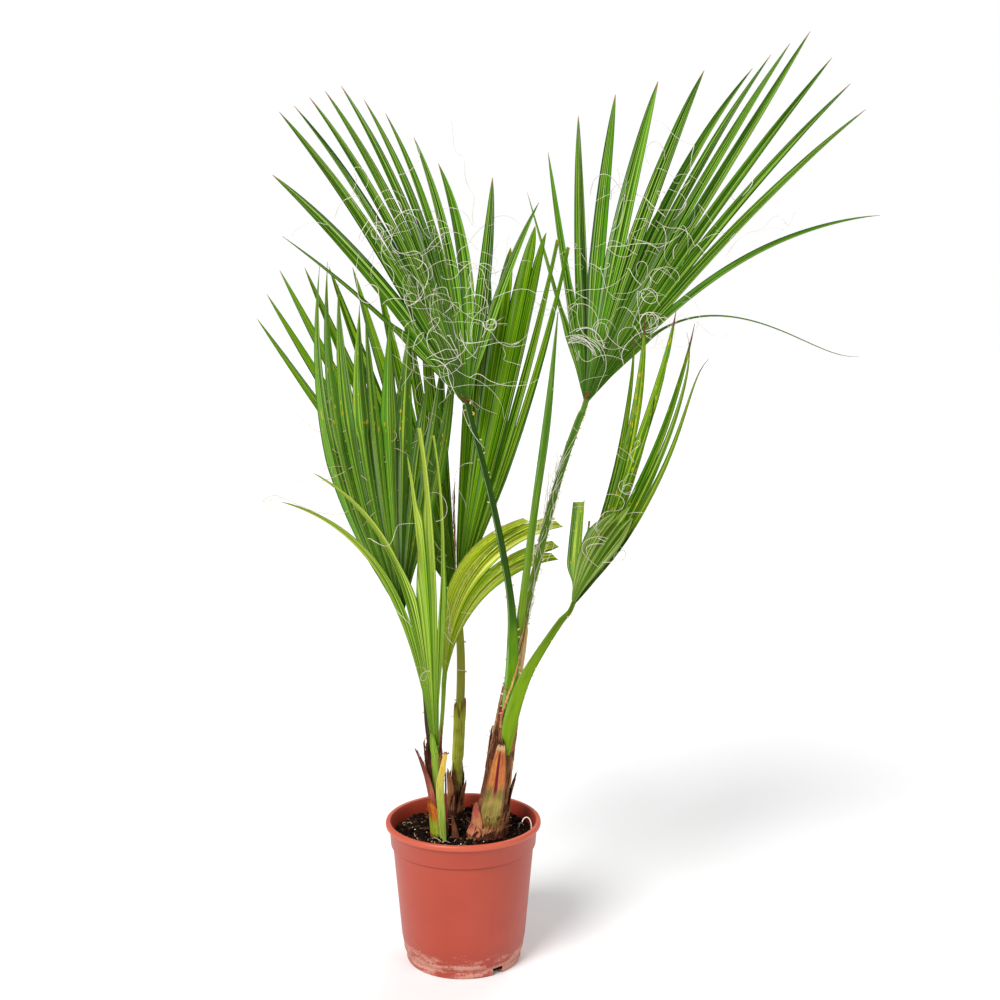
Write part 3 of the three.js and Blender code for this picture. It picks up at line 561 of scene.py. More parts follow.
class Blade:
    # a fan-shaped blade; bearings are degrees from its aim, distances are from its hub
    def __init__(self, frond):
        self.frond = frond = {**frondUsual, **frond}
        self.hub = np.array(frond["hub"], float)
        self.ahead = unit(frond["aim"])
        face = np.array(frond["face"], float)
        self.normal = unit(face - face.dot(self.ahead) * self.ahead)
        self.across = np.cross(self.ahead, self.normal)
        self.count = max(frond["ribs"]) + 1
        self.ribs, self.tips, self.lengths, self.widths, self.cuts = (
            [valueAt(frond[key], i) for i in range(self.count)]
            for key in ("ribs", "tips", "lengths", "widths", "cuts")
        )
        self.stray = seeded(self.count, 12).normal(size=self.count) * frond["stray"]
        throat = math.radians((self.ribs[0] + self.ribs[-1]) / 2)
        self.throatAhead = self.ahead * math.cos(throat) + self.across * math.sin(throat)
        self.throatAcross = np.cross(self.throatAhead, self.normal)
        self.spacing = (self.ribs[-1] - self.ribs[0]) / (self.count - 1)

    def ribBearing(self, i, r):
        share = min(1, r / self.lengths[i])
        droop = self.frond["droops"].get(i)  # where a leaflet begins to hang over
        turned = share ** self.frond["bend"] if droop is None else ease(droop, 1, share)
        hook = self.frond["tipCurl"].get(i, 0) * share**16
        return mix(self.ribs[i], self.tips[i], turned) + self.stray[i] * share**2 + hook

    def slitRadius(self, j):
        if j in self.frond["split"]:
            return self.frond["split"][j]
        u = 2 * j / self.count - 1
        low, high = self.frond["slit"]
        share = self.frond["slits"].get(j, mix(low, high, 1 - u * u))
        return share * min(self.lengths[max(0, j - 1)], self.lengths[min(self.count - 1, j)])

    def edgeBearing(self, j, r):
        if j == 0:
            return self.ribBearing(0, r) - self.spacing / 2
        if j == self.count:
            return self.ribBearing(j - 1, r) + self.spacing / 2
        return (self.ribBearing(j - 1, r) + self.ribBearing(j, r)) / 2

    def spot(self, bearing, r, length, slot, rise):
        angle, fold = math.radians(bearing), math.radians(self.frond["fold"])
        lift = math.hypot(math.sin(angle), 0.1) - 0.1
        nearHub = max(0, 1 - r / (6 * self.frond["stalkWidth"]))
        hump = 4 * self.frond["arch"] * r * max(0, 1 - r / length)
        return (
            self.hub + self.ahead * r * math.cos(angle) + self.across * r * math.sin(angle) * math.cos(fold)
            + self.throatAcross * slot * self.frond["stalkWidth"] * nearHub
            + self.normal * (r * lift * math.sin(fold) + hump + rise)
        )

    def pleat(self, r):
        return blade["pleat"] * r * math.radians(self.spacing)

    def halfWidth(self, i, j, r, start, share):
        def room(at):
            return math.radians(abs(self.edgeBearing(j, at) - self.ribBearing(i, at))) * at

        return min(room(start) * share, max(room(r) * self.frond["lap"] - blade["gap"], blade["leastHalf"]))

    def skin(self, seed):
        skin, frond, shared = Skin(), self.frond, {}
        webSteps, rows = blade["webSteps"], blade["webSteps"] + blade["freeSteps"]
        for i in range(self.count):
            length, width, blunt = self.lengths[i], self.widths[i], self.cuts[i]
            chance = seeded(seed, i)
            tone = chance.random()
            sag = (chance.random() - 0.5) * 2 * frond["wave"]
            twist = (chance.random() - 0.5) * 0.5
            swing = chance.random() * 6
            middleSlit = (self.slitRadius(i) + self.slitRadius(i + 1)) / 2
            wide = frond["wide"].get(i)
            upper, lower, places = [], [], []
            for s in range(rows + 1):
                free = max(0, (s - webSteps) / blade["freeSteps"]) ** blade["crowding"]
                taper = (1 - free) ** frond["taper"] * (1 + blade["belly"] * free) * width
                share = max(taper, blunt * (1 - 0.2 * free), blade["narrowest"])
                if width != 1:
                    share = mix(1, share, ease(0, 0.15, free))
                for grid in (upper, lower, places):
                    grid.append([])
                for u in blade["columns"]:
                    j = i if u < 0 else i + 1
                    start = mix(middleSlit, self.slitRadius(j), abs(u))
                    if free == 0:
                        web = s / webSteps
                        r = web * start
                        bearing = mix(self.ribBearing(i, r), self.edgeBearing(j, r), abs(u))
                        ripple = blade["ripple"] * math.sin(r * 0.05 + swing) * (1 - abs(u)) * web
                        rise = self.pleat(r) * (2 * abs(u) - 1) + ripple
                    else:
                        r = start + (length - start) * free
                        half = self.halfWidth(i, j, r, start, share)
                        if wide:
                            half = mix(half, wide * max((1 - free) ** 0.5, blunt), ease(0, 0.3, free))
                        bearing = self.ribBearing(i, r) + math.degrees(half / r) * u
                        fold = mix(2 * self.pleat(start), blade["foldFree"] * half, ease(0, 0.4, free))
                        rise = fold * (abs(u) - 0.5) + twist * half * u * free + sag * free * free
                        rise += blade["freeRipple"] * math.sin(r * 0.045 + swing) * free
                        if frond["lap"] != 1:  # neighbours pass over each other
                            rise += (1 if i % 2 else -1) * blade["lapRise"] * free
                    reached = min(1, r / length)
                    key = (j, s) if abs(u) == 1 and free == 0 else None
                    if not key or key not in shared:
                        solid = 1 - 0.8 * reached
                        slot = (i + 0.5 + 0.5 * u) / self.count - 0.5
                        base = self.spot(bearing, r, length, slot, rise)
                        under = blade["thick"] + (blade["ribThick"] * solid if u == 0 else 0)
                        shared[key] = (
                            skin.point(base + self.normal * blade["thick"] * solid),
                            skin.point(base - self.normal * (under * (0.4 + 0.6 * solid))),
                        )
                    upper[-1].append(shared[key][0])
                    lower[-1].append(shared[key][1])
                    # a leaflet with a square cut never reaches the brown of a tip
                    places[-1].append((u * 0.5 + 0.5, reached * (blade["cutMark"] if blunt >= 0.9 else 1)))
            skin.sheet(
                (upper, lower), places, ((tone, 0), (tone, 1), (tone, 0.5)),
                lambda s, c: s >= webSteps or i + (c > 0) in (0, self.count),
            )
        return skin


def axesAt(path, k, wide):  # ahead along the path, then across it, then at right angles to both
    ahead = unit(path[min(k + 1, len(path) - 1)] - path[max(k - 1, 0)])
    wide = unit(wide - ahead * ahead.dot(wide))
    return ahead, wide, np.cross(ahead, wide)


def addTube(skin, path, radii, sides, tone, flat=1.0, wide=None):
    # a closed tube through a list of points
    path = np.asarray(path, float)
    if wide is None:
        wide = np.cross(unit(path[1] - path[0]), (0.31, 0.71, 0.63))
    rings = []
    for k, centre in enumerate(path):
        ahead, wide, deep = axesAt(path, k, wide)
        rings.append([
            skin.point(centre + wide * radii[k] * math.cos(turn) + deep * radii[k] * flat * math.sin(turn))
            for turn in turns(sides)
        ])
    skin.sleeve(rings, (tone, 0))


def curl(start, heading, out, steps, stride, chance, keep):
    # a thread that curls about as it goes; keep gives the pull that holds it where it should hang
    at, ahead = np.array(start, float), unit(heading)
    axis = unit(out + 0.6 * chance.normal(size=3))
    turn = chance.choice((-1, 1)) * stride / chance.uniform(7, 26)
    path = [at]
    for k in range(steps):
        if chance.random() < 0.07:
            turn = chance.choice((-1, 1)) * stride / chance.uniform(6, 40)
            axis = unit(axis + 0.7 * chance.normal(size=3))
        ahead = unit(ahead + np.cross(axis, ahead) * turn + chance.normal(size=3) * 0.03)
        ahead = unit(ahead + keep(at))
        at = at + ahead * stride
        path.append(at)
    return path


thread = {
    "stride": 2.6, "steps": (22, 70), "thick": (0.22, 0.44), "above": 2.5, "hover": (1, 9), "pull": 0.02,
    "looseSteps": (34, 64), "looseThick": 0.28, "sag": (0, 0, -0.03),
    "tuftPoints": 15, "tuftThick": (0.36, 0.62),
}


def addThreads(name, fan, seed):
    frond = fan.frond
    chance = seeded(seed, 99)
    skin = Skin()
    for k in range(frond["threads"]):
        j = int(chance.integers(1, fan.count))
        r = mix(*frond["threadFrom"], chance.beta(1.3, 1.6)) * fan.lengths[j]
        start = fan.spot(fan.edgeBearing(j, r), r, fan.lengths[j], 0, thread["above"])
        level = start.dot(fan.normal) + chance.uniform(*thread["hover"])
        heading = fan.throatAhead * chance.uniform(-0.6, 1) + fan.throatAcross * chance.normal()
        heading = heading + fan.normal * 0.5
        steps = int(chance.uniform(*thread["steps"]))
        path = curl(
            start, heading, fan.normal, steps, thread["stride"], chance,
            lambda at: fan.normal * np.clip((level - at.dot(fan.normal)) * thread["pull"], -0.25, 0.25),
        )
        thick = chance.uniform(*thread["thick"])
        radii = [thick * (1 - 0.6 * (n / steps) ** 2) for n in range(steps + 1)]
        addTube(skin, path, radii, 5, chance.random())
    for k in range(frond["tufts"]):  # white strands in arcs over the foot of the blade
        first = fan.ribs[0] + chance.uniform(-4, 8)
        span = chance.uniform(22, 46)
        out, lift, hump = chance.uniform(-8, 8), chance.uniform(2, 6), chance.uniform(4, 12)
        path = []
        for n in range(thread["tuftPoints"]):
            t = n / (thread["tuftPoints"] - 1)
            r = mix(78, 60, t) + out + hump * math.sin(math.pi * t) + chance.normal() * 0.3
            path.append(fan.spot(first + span * t, r, 400, 0, lift + 2 * math.sin(math.pi * t)))
        addTube(skin, path, thinning(chance.uniform(*thread["tuftThick"]), 0.5, len(path)), 5, 0.9)
    for k in range(frond["loose"]):  # strands that hang from the foot of the blade
        start = fan.hub + fan.throatAhead * chance.uniform(4, 90) - fan.throatAcross * chance.uniform(4, 16)
        steps = int(chance.uniform(*thread["looseSteps"]))
        heading = (chance.normal() * 0.5, -0.2, -1)
        path = curl(start, heading, fan.normal, steps, thread["stride"], chance, lambda at: thread["sag"])
        addTube(skin, path, thinning(thread["looseThick"], 0.6, len(path)), 4, chance.random())
    skin.make(name, frond["threadFinish"], 60, "leaf_base")


def addFringe(name, fan, seed):
    # the dry torn margin of one half of a blade
    fringe = fan.frond["fringe"]
    chance = seeded(seed, 77)
    skin = Skin()
    for k in range(fringe["count"]):
        r = mix(fringe["from"], fringe["to"], (k + chance.random()) / fringe["count"])
        spread = chance.normal() * 0.4 - 0.5
        reach = chance.uniform(*fringe["reach"])
        path = []
        for n in range(7):
            away = r + reach * n / 6
            bearing = fan.edgeBearing(fringe["edge"], away) + spread
            path.append(fan.spot(bearing, away, 340, 0, 1.5 + chance.normal() * 0.5))
        radii = [chance.uniform(*fringe["thick"]) * share for share in thinning(1, 0.7, 7)]
        addTube(skin, path, radii, 4, chance.random())
    skin.make(name, "threadBrown", 60, "leaf_base")


fans = {name: Blade(frond) for name, frond in fronds.items()}
for number, (name, fan) in enumerate(fans.items()):
    slotName = "pale_leaf" if name.startswith("leaf") else "green_leaf"
    piece = fan.skin(number).make(name + "_blade", fan.frond["finish"], 32, slotName, name)
    addThreads(name + "_threads", fan, number)
    if fan.frond["fringe"]:
        addFringe(name + "_fringe", fan, number)
    print("blade", name, len(piece.data.polygons))


# stems and leaf stalks

stems = {
    "trunk_right": {
        "line": ((29, -12, 158), (33, -12, 173), (42, -10, 226), (49, -8, 275), (55, -6, 318),
            (64, -3, 367), (72, 0, 409)),
        "radius": (24, 19.5, 16.2, 14, 11.5, 7.4, 2.4), "relief": 0.8, "finish": "stemBark", "layers": 9,
    },
    "trunk_left": {
        "line": ((-27, -20, 158), (-28, -20, 186), (-30, -19, 229), (-32, -22, 272)),
        "radius": (9, 7, 6, 5), "relief": 0.35, "finish": "youngStalk", "layers": 3,
    },
    "trunk_middle": {
        "line": ((-13, 58, 158), (-11, 57, 180), (-9, 55, 222), (-7, 54, 259), (-5, 52, 306)),
        "radius": (10, 8, 6.4, 6.2, 3), "relief": 0.35, "finish": "stemPurple", "layers": 4,
    },
}
stalks = {
    "stalk_right_low": {
        "blade": "frond_right_low", "depth": 0.55, "side": (1, 0, -0.4), "finish": "stalkGreen", "teeth": 16,
        "line": ((52, -25, 262), (55, -27, 290), (61, -28, 318), (70, -30, 346), (81, -32, 370),
            (98, -35, 399), (116, -38, 427)),
        "halfWidth": (4.5, 8.5, 8.8, 7.9, 6.5, 5.3, 4.4),
    },
    "stalk_left_high": {
        "blade": "frond_left_high", "depth": 0.6, "side": (1, 0, 0), "finish": "stalkDeep", "teeth": 44,
        "line": ((52, -19, 303), (56, -20, 327), (60, -16, 382), (57, -12, 454), (37, 0, 560)),
        "halfWidth": (5, 8.2, 7.4, 4.6, 4.1),
    },
    "stalk_right_high": {
        "blade": "frond_right_high", "depth": 0.75, "side": (1, 0.3, 0), "finish": "stalkOlive", "teeth": 46,
        "line": ((70, 1, 388), (78, 6, 440), (91, 14, 492), (102, 22, 538), (119, 31, 599), (140, 41, 658)),
        "halfWidth": (4.4, 4.6, 4.8, 4.8, 4.6, 4.4),
    },
    "stalk_left_low": {
        "blade": "frond_left_low", "depth": 0.7, "side": (-1, 0, 0), "finish": "stalkPurple", "teeth": 8,
        "line": ((-37, -15, 246), (-39, -13, 272), (-42, -12, 298), (-45, -12, 340),
            (-55, -15, 389), (-64, -17, 417)),
        "halfWidth": (4.4, 4.4, 4.2, 4.2, 4.1, 3.9),
    },
    "stalk_middle": {
        "blade": "frond_middle", "depth": 0.8, "side": (1, 0, 0), "finish": "stalkBrown", "teeth": 6,
        "line": ((-5.6, 52.6, 284), (-4, 52, 332), (-4, 54, 367), (-6, 57, 403)),
        "halfWidth": (5.4, 5.4, 5.2, 4.8),
    },
    "stalk_arching": {
        "blade": "leaf_arching", "depth": 0.8, "side": (1, -0.3, 0), "finish": "youngStalk", "teeth": 0,
        "line": ((-29, -14.2, 262), (-26.6, -10.5, 285), (-24.5, -5, 310), (-23.5, 0, 330)),
        "halfWidth": (2.6, 2.5, 2.5, 2.7),
    },
}
spear = {
    "line": ((66, -4, 388), (71, -7, 435), (86, 0, 553), (101, 8, 662), (114, 20, 790)),
    "halfWidth": (4.6, 4.5, 4.4, 4.6, 0.5), "depth": 0.7, "side": (1, 0.2, 0), "folds": 9, "foldDepth": 0.07,
}
stubs = {
    "stub_yellow": {
        "line": ((-23, -34, 158), (-25, -35, 190), (-27, -34, 224), (-24, -33, 246), (-20, -32, 266)),
        "halfWidth": (3.6, 4.6, 4.8, 3.6, 2.4), "depth": 0.4, "side": (1, 0, 0), "finish": "cutStalk",
    },
    "stub_dry": {
        "line": ((-9, -26, 158), (-10, -26, 170), (-13, -25, 186)),
        "halfWidth": (5, 3.4, 1.2), "depth": 0.5, "side": (1, 0.2, 0), "finish": "sheathDark",
    },
}


limb = {"stem": (40, 2.2), "oldStalk": (32, 2.2), "stalk": (24, 3), "spear": (28, 3), "stub": (20, 2.5)}


def limbSkin(kind, line, halfWidth, depth, shape, side=(1, 0, 0), endSide=None):
    # a tube along a smooth line, whose rings are drawn by shape(angle, way along, half width)
    sides, step = limb[kind]  # corners of a ring and millimetres between rings
    endSide = side if endSide is None else endSide
    line = np.asarray(line, float)
    steps = max(4, int(sum(np.linalg.norm(b - a) for a, b in zip(line, line[1:])) / step))
    path = [lineAt(line, k / steps) for k in range(steps + 1)]
    radii = [float(lineAt(halfWidth, k / steps)) for k in range(steps + 1)]
    skin = Skin()
    rings = []
    for k, centre in enumerate(path):
        t = k / steps
        ahead, wide, deep = axesAt(path, k, mix(unit(side), unit(endSide), t))
        outline = [shape(angle, t, radii[k]) for angle in turns(sides)]
        rings.append([skin.point(centre + wide * out + deep * up * depth) for out, up in outline])
    skin.sleeve(rings, (0.5, 0))
    return skin, path, radii


def lifted(line):  # its foot stands just clear of the mix
    x, y, z = line[0]
    return [(x, y, z + 0.3), *line[1:]]


def stalkRing(groove):
    # rounded below, flat to hollow above, where the blade's face is
    def shape(angle, t, r):
        c, s = around(angle)
        up = s if s > 0 else s * (1 - groove * (1 - c * c) * 1.1)
        return r * math.copysign(abs(c) ** 0.9, c), r * up
    return shape


def spearRing(angle, t, r):
    # the folds of a leaf that hasn't opened
    return around(angle, r * (1 + spear["foldDepth"] * math.cos(spear["folds"] * angle)))


def wander(at, size, seed):  # smooth noise
    waves = ((1, 2.1, 1), (0.6, 4.7, 2.3), (0.35, 9.2, 5.1))
    return size * sum(high * math.sin(at * often + seed * shift) for high, often, shift in waves) / 1.95


def bark(relief, layers, seed):
    # ridges of fibre down the stem and the low steps of old leaf bases round it
    def shape(angle, t, r):
        ridges = wander(angle * 7 + t * 3, relief * 0.5, seed)
        ridges += wander(angle * 19 - t * 9, relief * 0.35, seed + 3)
        lap = (t * layers + 0.35 * math.sin(angle + seed)) % 1
        return around(angle, r + ridges + relief * 0.9 * (lap**3 - 0.3) * min(1, 6 * (1 - t)))
    return shape


tooth = {
    "from": 0.06, "over": 0.9, "size": (2.8, 4.8), "slants": (-0.5, 0.7, 0.9), "thick": (0.34, 0.22, 0.05),
    "flat": 0.6,
}


def addTeeth(name, path, radii, side, endSide, count, seed):
    chance = seeded(seed, 5)
    skin = Skin()
    steps = len(path) - 1
    for k in range(count):
        t = tooth["from"] + tooth["over"] * (k + chance.random()) / count
        at = min(steps - 1, max(1, int(t * steps)))
        ahead, wide, deep = axesAt(path, at, mix(unit(side), unit(endSide), t) * (1 if k % 3 else -1))
        size = chance.uniform(*tooth["size"]) * mix(1, 0.75, t)
        foot = path[at] + wide * (radii[at] * 0.9) + deep * chance.normal() * 0.3
        rise = ahead * chance.choice(tooth["slants"]) * size
        spine = [foot, foot + wide * size * 0.5 + rise * 0.15, foot + wide * size * 0.85 + rise * 0.5]
        thick = [size * share for share in tooth["thick"]]
        addTube(skin, spine, thick, 6, chance.random(), tooth["flat"], ahead)
    skin.make(name, "toothTan", 50, "leaf_base")


for number, (name, stem) in enumerate(stems.items()):
    line, shape = lifted(stem["line"]), bark(stem["relief"], stem["layers"], number + 1)
    skin = limbSkin("stem", line, stem["radius"], 1, shape)[0]
    skin.make(name + "_skin", stem["finish"], 50, "stem_fibre", name)

for number, (name, stalk) in enumerate(stalks.items()):
    fan = fans[stalk["blade"]]
    tip = fan.frond["stalkWidth"] / 2
    line = stalk["line"] + (tuple(fan.hub - fan.throatAhead * 14), tuple(fan.hub + fan.throatAhead * 1.5))
    half, side = stalk["halfWidth"] + (tip, tip), stalk["side"]
    skin, path, radii = limbSkin("stalk", line, half, stalk["depth"], stalkRing(0.5), side, fan.throatAcross)
    skin.make(name + "_skin", stalk["finish"], 45, "leaf_stalk", name)
    if stalk["teeth"]:
        addTeeth(name + "_teeth", path, radii, side, fan.throatAcross, stalk["teeth"], number)

line, half = spear["line"], spear["halfWidth"]
skin = limbSkin("spear", line, half, spear["depth"], spearRing, spear["side"])[0]
skin.make("spear_skin", "spearSkin", 30, "leaf_stalk", "spear")

for name, stub in stubs.items():
    line, half = lifted(stub["line"]), stub["halfWidth"]
    skin = limbSkin("stub", line, half, stub["depth"], stalkRing(0.3), stub["side"])[0]
    skin.make(name + "_skin", stub["finish"], 45, "cut_stalk" if name == "stub_yellow" else "leaf_base", name)
print("stems and stalks ready")


# old leaf bases

# lines and radii that they wrap round
guides = {name: (stem["line"], stem["radius"]) for name, stem in stems.items()}
guides.update({
    "stalk_left_high": (stalks["stalk_left_high"]["line"], stalks["stalk_left_high"]["halfWidth"]),
    "middle_wrap": (((-9, 55, 222), (-7, 54, 259), (-5, 52, 306), (-4, 52, 332)), (6.4, 6.3, 5.4, 5.2)),
    "old_stalk": (((-33, -18, 158), (-36, -16, 205), (-38, -15, 240), (-39, -14, 266)), (7, 6.2, 5.2, 4.6)),
})
sheaths = {
    # finish, guide, facing, half angle, foot, tip, lean, thickness, raggedness, distance off, narrowing
    "sheath_right_front": ("sheathFront", "trunk_right", -96, 41, 167, 278, 9, 1.6, 0.035, 1.4, 0.8),
    "sheath_right_collar": ("sheathPink", "trunk_right", 100, 62, 232, 312, 1.5, 1.4, 0.22, 0.6, 0.94),
    "sheath_right_foot": ("sheathPink", "trunk_right", 216, 32, 158.6, 203, 7, 2.2, 0.16, 1.2, 0.9),
    "sheath_right_spur": ("sheathDark", "trunk_right", 8, 26, 188, 234, 5, 1.2, 0.3, 0.6, 0.94),
    "sheath_left_back": ("oldPurple", "trunk_left", 200, 64, 162, 272, 18, 1.4, 0.24, 1.6, 0.9),
    "sheath_left_front": ("sheathOrange", "trunk_left", -124, 50, 158.6, 211, 9, 1.6, 0.12, 2.0, 0.9),
    "sheath_left_red": ("sheathRed", "trunk_left", -2, 50, 160, 238, 2.5, 1.2, 0.3, 0.8, 0.9),
    "sheath_middle_left": ("sheathDry", "trunk_middle", 214, 56, 162, 222, 6, 1.2, 0.4, 0.8, 0.9),
    "sheath_middle_right": ("sheathDry", "trunk_middle", -20, 52, 160, 206, 4, 1.2, 0.4, 0.8, 0.9),
}
scales = {
    # torn remains of older sheaths: the same values without the finish, by guide, and no node of their own
    "right_foot_scales": ("sheathDry", {"trunk_right": (
        (-78, 44, 158.4, 179, 2.5, 0.9, 0.6, 0.8, 0.5), (-122, 40, 158.4, 186, 2.5, 0.9, 0.6, 0.7, 0.6),
        (-36, 44, 158.4, 190, 2, 0.9, 0.6, 0.6, 0.6), (8, 46, 158.4, 196, 2, 0.9, 0.6, 0.4, 0.7),
        (58, 46, 158.4, 206, 3, 0.9, 0.6, 1.2, 0.7), (108, 46, 158.4, 216, 3, 0.9, 0.5, 1.0, 0.8),
        (160, 46, 158.4, 196, 3, 0.9, 0.6, 0.8, 0.7), (84, 40, 190, 262, 3, 0.9, 0.5, 0.9, 0.85),
    )}),
    "right_collar_scales": ("sheathDry", {"trunk_right": (
        (-56, 24, 262, 298, 4, 0.9, 0.4, 2.4, 0.8), (4, 40, 214, 282, 0.4, 0.8, 0.5, -0.3, 0.85),
        (150, 44, 236, 292, 2.5, 0.9, 0.6, 0.8, 0.85),
    )}),
    "right_foot_dark": ("sheathDark", {"trunk_right": (
        (-60, 36, 158.4, 174, 3, 0.8, 0.7, 1.6, 0.5), (-104, 34, 158.4, 171, 4, 0.8, 0.7, 1.8, 0.5),
        (-18, 36, 158.4, 178, 3, 0.8, 0.7, 1.2, 0.6), (-142, 36, 158.4, 176, 3, 0.8, 0.7, 1.4, 0.6),
        (-84, 30, 172, 190, 3, 0.8, 0.7, 1.2, 0.5), (-40, 30, 178, 204, 2, 0.8, 0.7, 0.6, 0.6),
    )}),
    "right_dark_scales": ("sheathDark", {"trunk_right": (
        (-104, 30, 254, 286, 5, 0.9, 0.4, 3.2, 0.8), (-168, 42, 204, 262, 1.0, 0.8, 0.6, 0.0, 0.85),
        (-150, 40, 246, 304, 0.6, 0.8, 0.6, -0.4, 0.85), (-160, 40, 290, 346, 0.6, 0.8, 0.6, -0.4, 0.85),
        (24, 44, 268, 336, 2, 0.9, 0.5, 0.8, 0.85), (70, 50, 300, 372, 2, 0.9, 0.5, 0.8, 0.85),
    )}),
    "right_top_scales": ("stemTop", {"trunk_right": (
        (-150, 60, 346, 408, 4, 0.8, 0.5, 0.8, 0.96), (-58, 66, 346, 428, 6, 0.8, 0.5, 0.8, 0.94),
        (100, 66, 346, 412, 3, 0.8, 0.5, 0.8, 0.96),
    )}),
    "left_dark_scales": ("sheathDark", {"old_stalk": (
        (-112, 70, 226, 284, 3, 0.8, 0.5, 0.5, 0.8), (170, 66, 214, 276, 3, 0.8, 0.5, 0.5, 0.8),
        (60, 66, 200, 262, 2, 0.8, 0.5, 0.5, 0.8),
    ), "trunk_left": (
        (-64, 40, 158.4, 182, 4, 0.8, 0.6, 1.0, 0.7),
    )}),
    "middle_mouth": ("mouthGreen", {"middle_wrap": (
        (-142, 98, 222, 308, 0.8, 0.7, 0.1, 0.1, 0.97), (-36, 98, 226, 313, 1.4, 0.7, 0.1, 0.1, 0.97),
    )}),
    "young_mouth": ("sheathDry", {"trunk_left": ((-30, 44, 232, 298, 2.0, 0.6, 0.1, 0.5, 0.95),)}),
    "young_wrap": ("youngStalk", {"trunk_left": ((-128, 88, 214, 289, 1.0, 0.6, 0.02, 0.2, 0.8),)}),
    "middle_dark_scales": ("sheathDark", {"trunk_middle": (
        (-80, 60, 158.4, 196, 3, 0.8, 0.6, 0.8, 0.8), (-130, 50, 170, 232, 2, 0.8, 0.6, 0.6, 0.85),
        (60, 60, 160, 226, 3, 0.8, 0.5, 0.8, 0.85), (130, 60, 160, 214, 3, 0.8, 0.5, 0.8, 0.85),
    )}),
}
sheath = {
    "columns": 30, "rows": 30, "taperPower": 2.2, "rip": 1.3, "deepestRip": 0.75, "hemFrom": 0.7,
    "hemWidth": 0.3, "tuck": 1.2, "tuckedTo": 0.12, "fibres": 9, "scaleFibres": 8,
}


def sheathSpot(base, c, w, extra):
    # a point of a base at c across, from -1 to 1, and w of the way up, and the way out from the stem there
    guide, facing, halfAngle, foot, tip, lean, _, _, off, narrow = base
    line, radius = guides[guide]
    height = foot + (tip - foot) * w
    xs, ys, heights = zip(*line)
    x, y, r = (np.interp(height, heights, values) for values in (xs, ys, radius))
    angle = math.radians(facing + halfAngle * (1 - narrow * w ** sheath["taperPower"]) * c)
    out = np.array((*around(angle), 0))
    return np.array((x, y, height)) + out * (r + off + extra + lean * w * w), out


def addSheath(skin, base, seed):
    thick, ragged, off = base[6:9]
    columns, rows = sheath["columns"], sheath["rows"]
    chance = seeded(seed, 3)
    rough = np.convolve(chance.normal(size=columns + 3), np.ones(3) / 3, "valid")
    torn = np.abs(rough) * ragged * sheath["rip"]
    sway = chance.random() * 6
    tone = (chance.random(), 0)
    upper, lower, places = [], [], []
    for i in range(rows + 1):
        for grid in (upper, lower, places):
            grid.append([])
        for j in range(columns + 1):
            c = 2 * j / columns - 1
            w = i / rows * (1 - min(sheath["deepestRip"], torn[j]) * (1 - 0.4 * abs(c)))
            spot, out = sheathSpot(base, c, w, thick / 2)
            edge = max(0, abs(c) - sheath["hemFrom"]) / sheath["hemWidth"]
            wave = 0.6 * edge + 0.45 * math.sin(c * 12 + sway) * w + 0.3 * math.sin(c * 27 + w * 9 + sway)
            spot = spot - out * (off + sheath["tuck"]) * (1 - ease(0, sheath["tuckedTo"], w)) + out * wave
            half = out * (thick / 2) * (1 - 0.5 * w) * (1 - 0.7 * edge * edge)
            upper[-1].append(skin.point(spot + half))
            lower[-1].append(skin.point(spot - half))
            places[-1].append((j / columns, i / rows))
    skin.sheet((upper, lower), places, (tone, tone, tone))


def addFray(skin, base, count, seed):
    # single fibres that stand off the torn margins
    chance = seeded(seed, 8)
    for k in range(count):
        c = chance.choice((-1, 1)) * chance.uniform(0.9, 1)
        start, out = sheathSpot(base, c, chance.uniform(0.25, 0.98), 0.4)
        ahead = out * chance.uniform(0.0, 0.7) + (0, 0, chance.uniform(0.4, 1))
        ahead = unit(ahead + chance.normal(size=3) * 0.35)
        reach = chance.uniform(2.5, 9)
        bow = chance.normal(size=3) * 0.25
        path = [start + (ahead + bow * n / 4) * reach * n / 4 for n in range(5)]
        radii = [chance.uniform(0.2, 0.42) * share for share in thinning(1, 0.7, 5)]
        addTube(skin, path, radii, 4, chance.random())


fray = Skin()
for number, (name, (finishName, *base)) in enumerate(sheaths.items()):
    skin = Skin()
    addSheath(skin, base, number)
    skin.make(name + "_skin", finishName, 50, "leaf_base", name)
    addFray(fray, base, sheath["fibres"], number)
for number, (name, (finishName, groups)) in enumerate(scales.items()):
    skin = Skin()
    bases = [(guide, *values) for guide, rows in groups.items() for values in rows]
    for part, base in enumerate(bases):
        addSheath(skin, base, 40 + number * 10 + part)
        addFray(fray, base, sheath["scaleFibres"], 40 + number * 10 + part)
    skin.make(name, finishName, 50, "leaf_base")

skin = limbSkin("oldStalk", *guides["old_stalk"], 0.8, bark(0.5, 6, 9))[0]
skin.make("old_stalk_left", "oldPurple", 50, "leaf_base")

